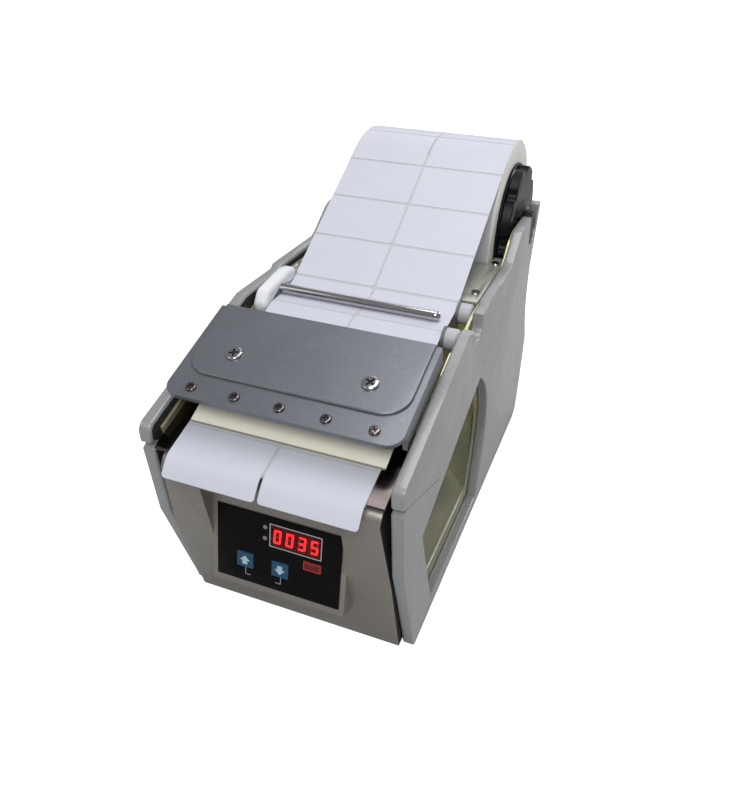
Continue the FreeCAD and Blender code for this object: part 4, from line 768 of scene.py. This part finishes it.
def panel_print():
    """Frame of the display, bracket under the two keys and the arrows on them."""
    pieces = []
    for start, end in (((-4.9, 26.4), (24.6, 26.9)), ((-4.9, 39.7), (24.6, 40.2)), ((-4.9, 26.9), (-4.4, 39.7)),
                       ((24.1, 26.9), (24.6, 39.7)), ((-18.6, 4.6), (-18.3, 9.0)), ((-18.6, 4.6), (-15.6, 4.9)),
                       ((2.0, 4.6), (2.3, 9.0)), ((-1.0, 4.6), (2.3, 4.9))):
        points = [(start[0], start[1]), (end[0], start[1]), (end[0], end[1]), (start[0], end[1])]
        pieces.append(cut_outline("line", points, 0.05, on_panel, 0.0))
    set_in(joined("panel_lines", pieces), "control_panel", PRINT, stands_for=False)
    for node, middle, way in (("up_key", (-18.5, 13.9), 1), ("down_key", (1.9, 13.9), -1)):
        arrow = [(-3.0, -0.2), (-1.5, -0.2), (-1.5, -2.6), (1.5, -2.6), (1.5, -0.2), (3.0, -0.2), (0, 2.8)]
        points = [(middle[0] + u, middle[1] + v * way) for u, v in arrow[::way]]
        set_in(cut_outline(node + "_arrow", points, 0.06, on_panel, 0.9), node, KEY_PRINT, stands_for=False)
    left, right, low, high, wide = 15.2, 24.8, 19.2, 24.0, 0.5
    sides = [cut_outline("side", points, 0.05, on_panel, 0.9) for points in (
        [(left, low), (right, low), (right, low + wide), (left, low + wide)],
        [(left, high - wide), (right, high - wide), (right, high), (left, high)],
        [(left, low + wide), (left + wide, low + wide), (left + wide, high - wide), (left, high - wide)],
        [(right - wide, low + wide), (right, low + wide), (right, high - wide), (right - wide, high - wide)])]
    set_in(joined("reset_key_frame", sides), "reset_key", RED_PRINT, stands_for=False)
    for node in ("up_key", "down_key", "reset_key"):
        rounded(node, 0.3, 3)


digits()
panel_print()


# Web: one line from the peel edge over the shafts to the roll, followed by labels in two lanes

ROLL, ROLL_RADIUS, ROLL_FACE = (108.25, 171.0), 56.3, 56.02
SHAFT, SHAFT_RADIUS, WEB_LIFT = (-16.75, 157.7), 3.05, 3.35
TANGENT = ROLL_RADIUS - SHAFT_RADIUS
FEED = math.atan2(ROLL[1] - SHAFT[1], ROLL[0] - SHAFT[0]) + math.asin(
    TANGENT / math.hypot(ROLL[0] - SHAFT[0], ROLL[1] - SHAFT[1]))
STRAIGHT = math.sqrt((ROLL[0] - SHAFT[0]) ** 2 + (ROLL[1] - SHAFT[1]) ** 2 - TANGENT ** 2)
SPAN_START, SPAN_FLAT, SPAN_RISING, SPAN_CLIMB = (-44.75, 158.04), 11.5, 14.98, math.radians(9.68)
PEEL_EDGE, TABLE_SLOPE, TABLE_LIFT, TABLE_LENGTH = (-153.75, 122.2), 17.6, 1.3, 114.4
LANE_MIDDLE, LABEL_HALF, LABEL_LENGTH, LABEL_PITCH, LABEL_THICK = 26.15, 25.35, 31.4, 33, 0.16
LABEL_UNDER_ROD = 0.036


def on_feed(u, v, w):
    """v along the web from the rear shaft up to the roll and on round it, clear of the labels that turn."""
    lift = w + WEB_LIFT
    if v <= STRAIGHT:
        return Vector((u, SHAFT[0] - math.sin(FEED) * lift + v * math.cos(FEED),
                       SHAFT[1] + math.cos(FEED) * lift + v * math.sin(FEED))) * MM
    return on_roll(u, v, w + 0.22 + 0.4 * math.exp((STRAIGHT - v) / 8))


def on_roll(u, v, w):
    """v as along the web, on round the roll, w off the roll's own face."""
    turn = FEED - (v - STRAIGHT) / ROLL_RADIUS
    reach = ROLL_FACE + w
    return Vector((u, ROLL[0] - math.sin(turn) * reach, ROLL[1] + math.cos(turn) * reach)) * MM


def on_span(u, v, w):
    """v along the web from the front shaft under the rod and over the rear shaft, w off its face."""
    back, up = SPAN_START
    if v <= SPAN_FLAT:
        return Vector((u, back + v, up + w)) * MM
    if v <= SPAN_FLAT + SPAN_RISING:
        along = v - SPAN_FLAT
        return Vector((u, back + SPAN_FLAT + along * math.cos(SPAN_CLIMB),
                       up + 0.01 + along * math.sin(SPAN_CLIMB) + w)) * MM
    return on_feed(u, v - SPAN_FLAT - SPAN_RISING, w)


def on_table(u, v, w):
    """v up the web from the peel edge, w off its face."""
    slope, lift = math.radians(TABLE_SLOPE), w + TABLE_LIFT
    return Vector((u, PEEL_EDGE[0] + v * math.cos(slope) - lift * math.sin(slope),
                   PEEL_EDGE[1] + v * math.sin(slope) + lift * math.cos(slope))) * MM


def label_outline(lane, start, end, radius, steps):
    middle = lane * LANE_MIDDLE
    return round_rectangle(middle - LABEL_HALF, middle + LABEL_HALF, start, end, radius, steps)


def label_at(lane, start, end, spot, stops=(), thick=LABEL_THICK):
    """One label blank with round corners, sliced across at the stops, where it has to bend."""
    outline = label_outline(lane, start, end, 1.7, 5)
    blank = cut_outline("blank", outline, thick, as_drawn, thick / 8)
    sliced(blank, stops)
    lay(blank, spot)
    return blank


def labels_on_web():
    """The rows on the table, one between the shafts, four up to the roll and the rest, which turn with it."""
    resting, winding = [], []
    for lane in (-1, 1):
        for row in range(3):
            low = 18.2 + LABEL_PITCH * row
            resting.append(label_at(lane, low, min(low + LABEL_LENGTH, TABLE_LENGTH), on_table))
        resting.append(label_at(lane, 1.2, 30.2, on_span, (SPAN_FLAT, SPAN_FLAT + SPAN_RISING),
                                LABEL_UNDER_ROD))
        for row in range(11):
            low = 5.3 + LABEL_PITCH * row
            bends = [low + LABEL_LENGTH / 10 * cut for cut in range(1, 10)]
            if row < 4:
                resting.append(label_at(lane, low, low + LABEL_LENGTH, on_feed, bends if row == 3 else ()))
            else:
                winding.append(label_at(lane, low, low + LABEL_LENGTH, on_roll, bends))
    set_in(joined("labels_on_web", resting), "web_labels", FINISH["label"])
    set_in(joined("labels_on_roll", winding), "label_roll", FINISH["label"], stands_for=False)


def wound_roll():
    """The roll as a thick ring of wound paper."""
    outer, inner, half = 56.0, 20.0, 51.6
    bpy.ops.object.select_all(action="DESELECT")
    bpy.ops.mesh.primitive_cylinder_add(vertices=192, radius=outer * MM, depth=half * 2 * MM,
                                        rotation=(0, math.pi / 2, 0))
    roll = bpy.context.object
    roll.name = "wound_labels"
    bpy.ops.object.transform_apply(location=True, rotation=True, scale=True)
    mesh = to_edit(roll, "FACE")
    for face in mesh.faces:
        face.select_set(abs(face.normal.x) > 0.9)
    bmesh.update_edit_mesh(roll.data)
    bpy.ops.mesh.inset(thickness=(outer - inner) * MM, use_boundary=True)
    from_edit()
    soften(roll, 0.6, 3, 60)
    lay(roll, lambda u, v, w: Vector((u, v + ROLL[0], w + ROLL[1])) * MM)
    set_in(roll, "label_roll", FINISH["roll"])


def sliced(piece, stops):
    """Cuts a flat piece across at each of these v, so that it can bend there."""
    for stop in stops:
        to_edit(piece)
        bpy.ops.mesh.select_all(action="SELECT")
        bpy.ops.mesh.bisect(plane_co=(0, stop * MM, 0), plane_no=(0, 1, 0))
        from_edit()


def on_tongue(u, v, w):
    """v forward along a peeling label from its rear end: down the plate, then bending over the edge."""
    straight, step = 16.84, 0.1
    if v <= straight:
        return on_table(u, straight - 1.0 - v, w)
    place = on_table(u, -1.0, w) / MM
    for index in range(round((v - straight) / step)):
        angle = math.radians(TABLE_SLOPE + 37.7 * (1 - math.exp(-index * step / 3.0)))
        place -= Vector((0, math.cos(angle), math.sin(angle))) * step
    return place * MM


def peeling_labels():
    """The two blanks at the edge, half off the liner."""
    for lane, node in ((-1, "left_peeled_label"), (1, "right_peeled_label")):
        blank = cut_outline(node + "_blank", label_outline(lane, -0.9, 30, 1.9, 6), LABEL_THICK, as_drawn, 0.12)
        sliced(blank, [16 + 0.5 * index for index in range(27)])
        lay(blank, on_tongue)
        only(blank)
        bpy.ops.object.mode_set(mode="EDIT")
        bpy.ops.mesh.select_all(action="SELECT")
        bpy.ops.mesh.normals_make_consistent(inside=False)
        from_edit()
        set_in(blank, node, FINISH["label"])


FILM_FOOT, FILM_BEND, FILM_FREE = Vector((-136.55, 129.54)), Vector((-115.89, 138.38)), 22.47


def on_film(u, v, w):
    """v up the film from its foot on the labels to the bridge and on along the bridge's underside."""
    if v <= FILM_FREE:
        rise = (FILM_BEND - FILM_FOOT).normalized()
        place = FILM_FOOT + rise * v
        lift = w + 0.45 * math.sin(math.pi * v / FILM_FREE)
    else:
        rise = Vector((math.cos(LID_SLOPE), math.sin(LID_SLOPE)))
        place = FILM_BEND + rise * (v - FILM_FREE)
        lift = w
    return Vector((u, place.x - rise.y * lift, place.y + rise.x * lift)) * MM


def soft_film():
    """The cream film, faintly bowed between the labels and the bridge, with a painted shadow line along its
    foot.
    """
    outline = round_rectangle(-51, 53.8, 0, 26.4, 0.8, 4)
    film = cut_outline("soft_film", outline, 0.3, as_drawn, 0.05)
    sliced(film, [0.9] + [FILM_FREE * index / 12 for index in range(1, 13)])
    lay(film, on_film)
    set_in(film, "press_film", FINISH["film"])
    # The strip at the foot gets the dark tone of the painted shadow line
    second_finish(film, FILM_EDGE_SHADOW, lambda middle, normal: middle.y < -0.1357)


peeling_labels()
soft_film()
labels_on_web()
wound_roll()


# Studio

def studio():
    bpy.ops.object.select_all(action="DESELECT")
    bpy.ops.mesh.primitive_plane_add(size=60)
    floor = bpy.context.object
    floor.name = "floor"
    material, w, shader, place = new_finish("pale_floor", Roughness=0.8, Specular_IOR_Level=0.1,
                                            Emission_Color=(1, 1, 1, 1))
    cloud = w.noise(place, 3.0, 2.0, 0.5).outputs[0]
    w.link(w.blend(cloud, (0.50, 0.50, 0.50, 1), (0.53, 0.53, 0.53, 1)), shader.inputs["Base Color"])
    seen = w.add("LightPath").outputs["Is Camera Ray"]
    w.link(w.sums("MULTIPLY", seen, 0.88), shader.inputs["Emission Strength"])
    floor.data.materials.append(material)
    for name, place, size, power, colour in (
            ("key_light", (0.1, 0.15, 1.4), 0.9, 8, (1.0, 1.0, 1.0)),
            ("front_light", (0.3, -1.1, 1.15), 0.7, 11.5, (1.0, 0.99, 0.97)),
            ("rim_light", (0.8, 1.25, 0.6), 0.32, 6, (1.0, 1.0, 1.0)),
            ("fill_light", (-1.0, -0.9, 1.1), 0.9, 2.4, (1.0, 0.98, 0.95)),
            ("back_light", (-0.3, 1.2, 1.1), 0.9, 2.6, (0.97, 0.98, 1.0))):
        lamp = bpy.data.lights.new(name, "AREA")
        lamp.shape = "DISK"
        lamp.size = size
        lamp.energy = power
        lamp.color = colour
        holder = bpy.data.objects.new(name, lamp)
        scene.collection.objects.link(holder)
        holder.location = place
        aim = Vector((0, 0, 0.1)) - Vector(place)
        holder.rotation_mode = "QUATERNION"
        holder.rotation_quaternion = aim.to_track_quat("-Z", "Y")
    world = bpy.data.worlds.new("studio_air")
    scene.world = world
    world.use_nodes = True
    air = world.node_tree.nodes["Background"]
    air.inputs["Color"].default_value = (0.97, 0.98, 1.0, 1)
    w = Wiring(world.node_tree)
    seen = w.add("LightPath").outputs["Is Camera Ray"]
    w.link(w.span(seen, 0.0, 1.0, 0.30, 1.05), air.inputs["Strength"])
    scene.view_settings.view_transform = "Standard"


studio()
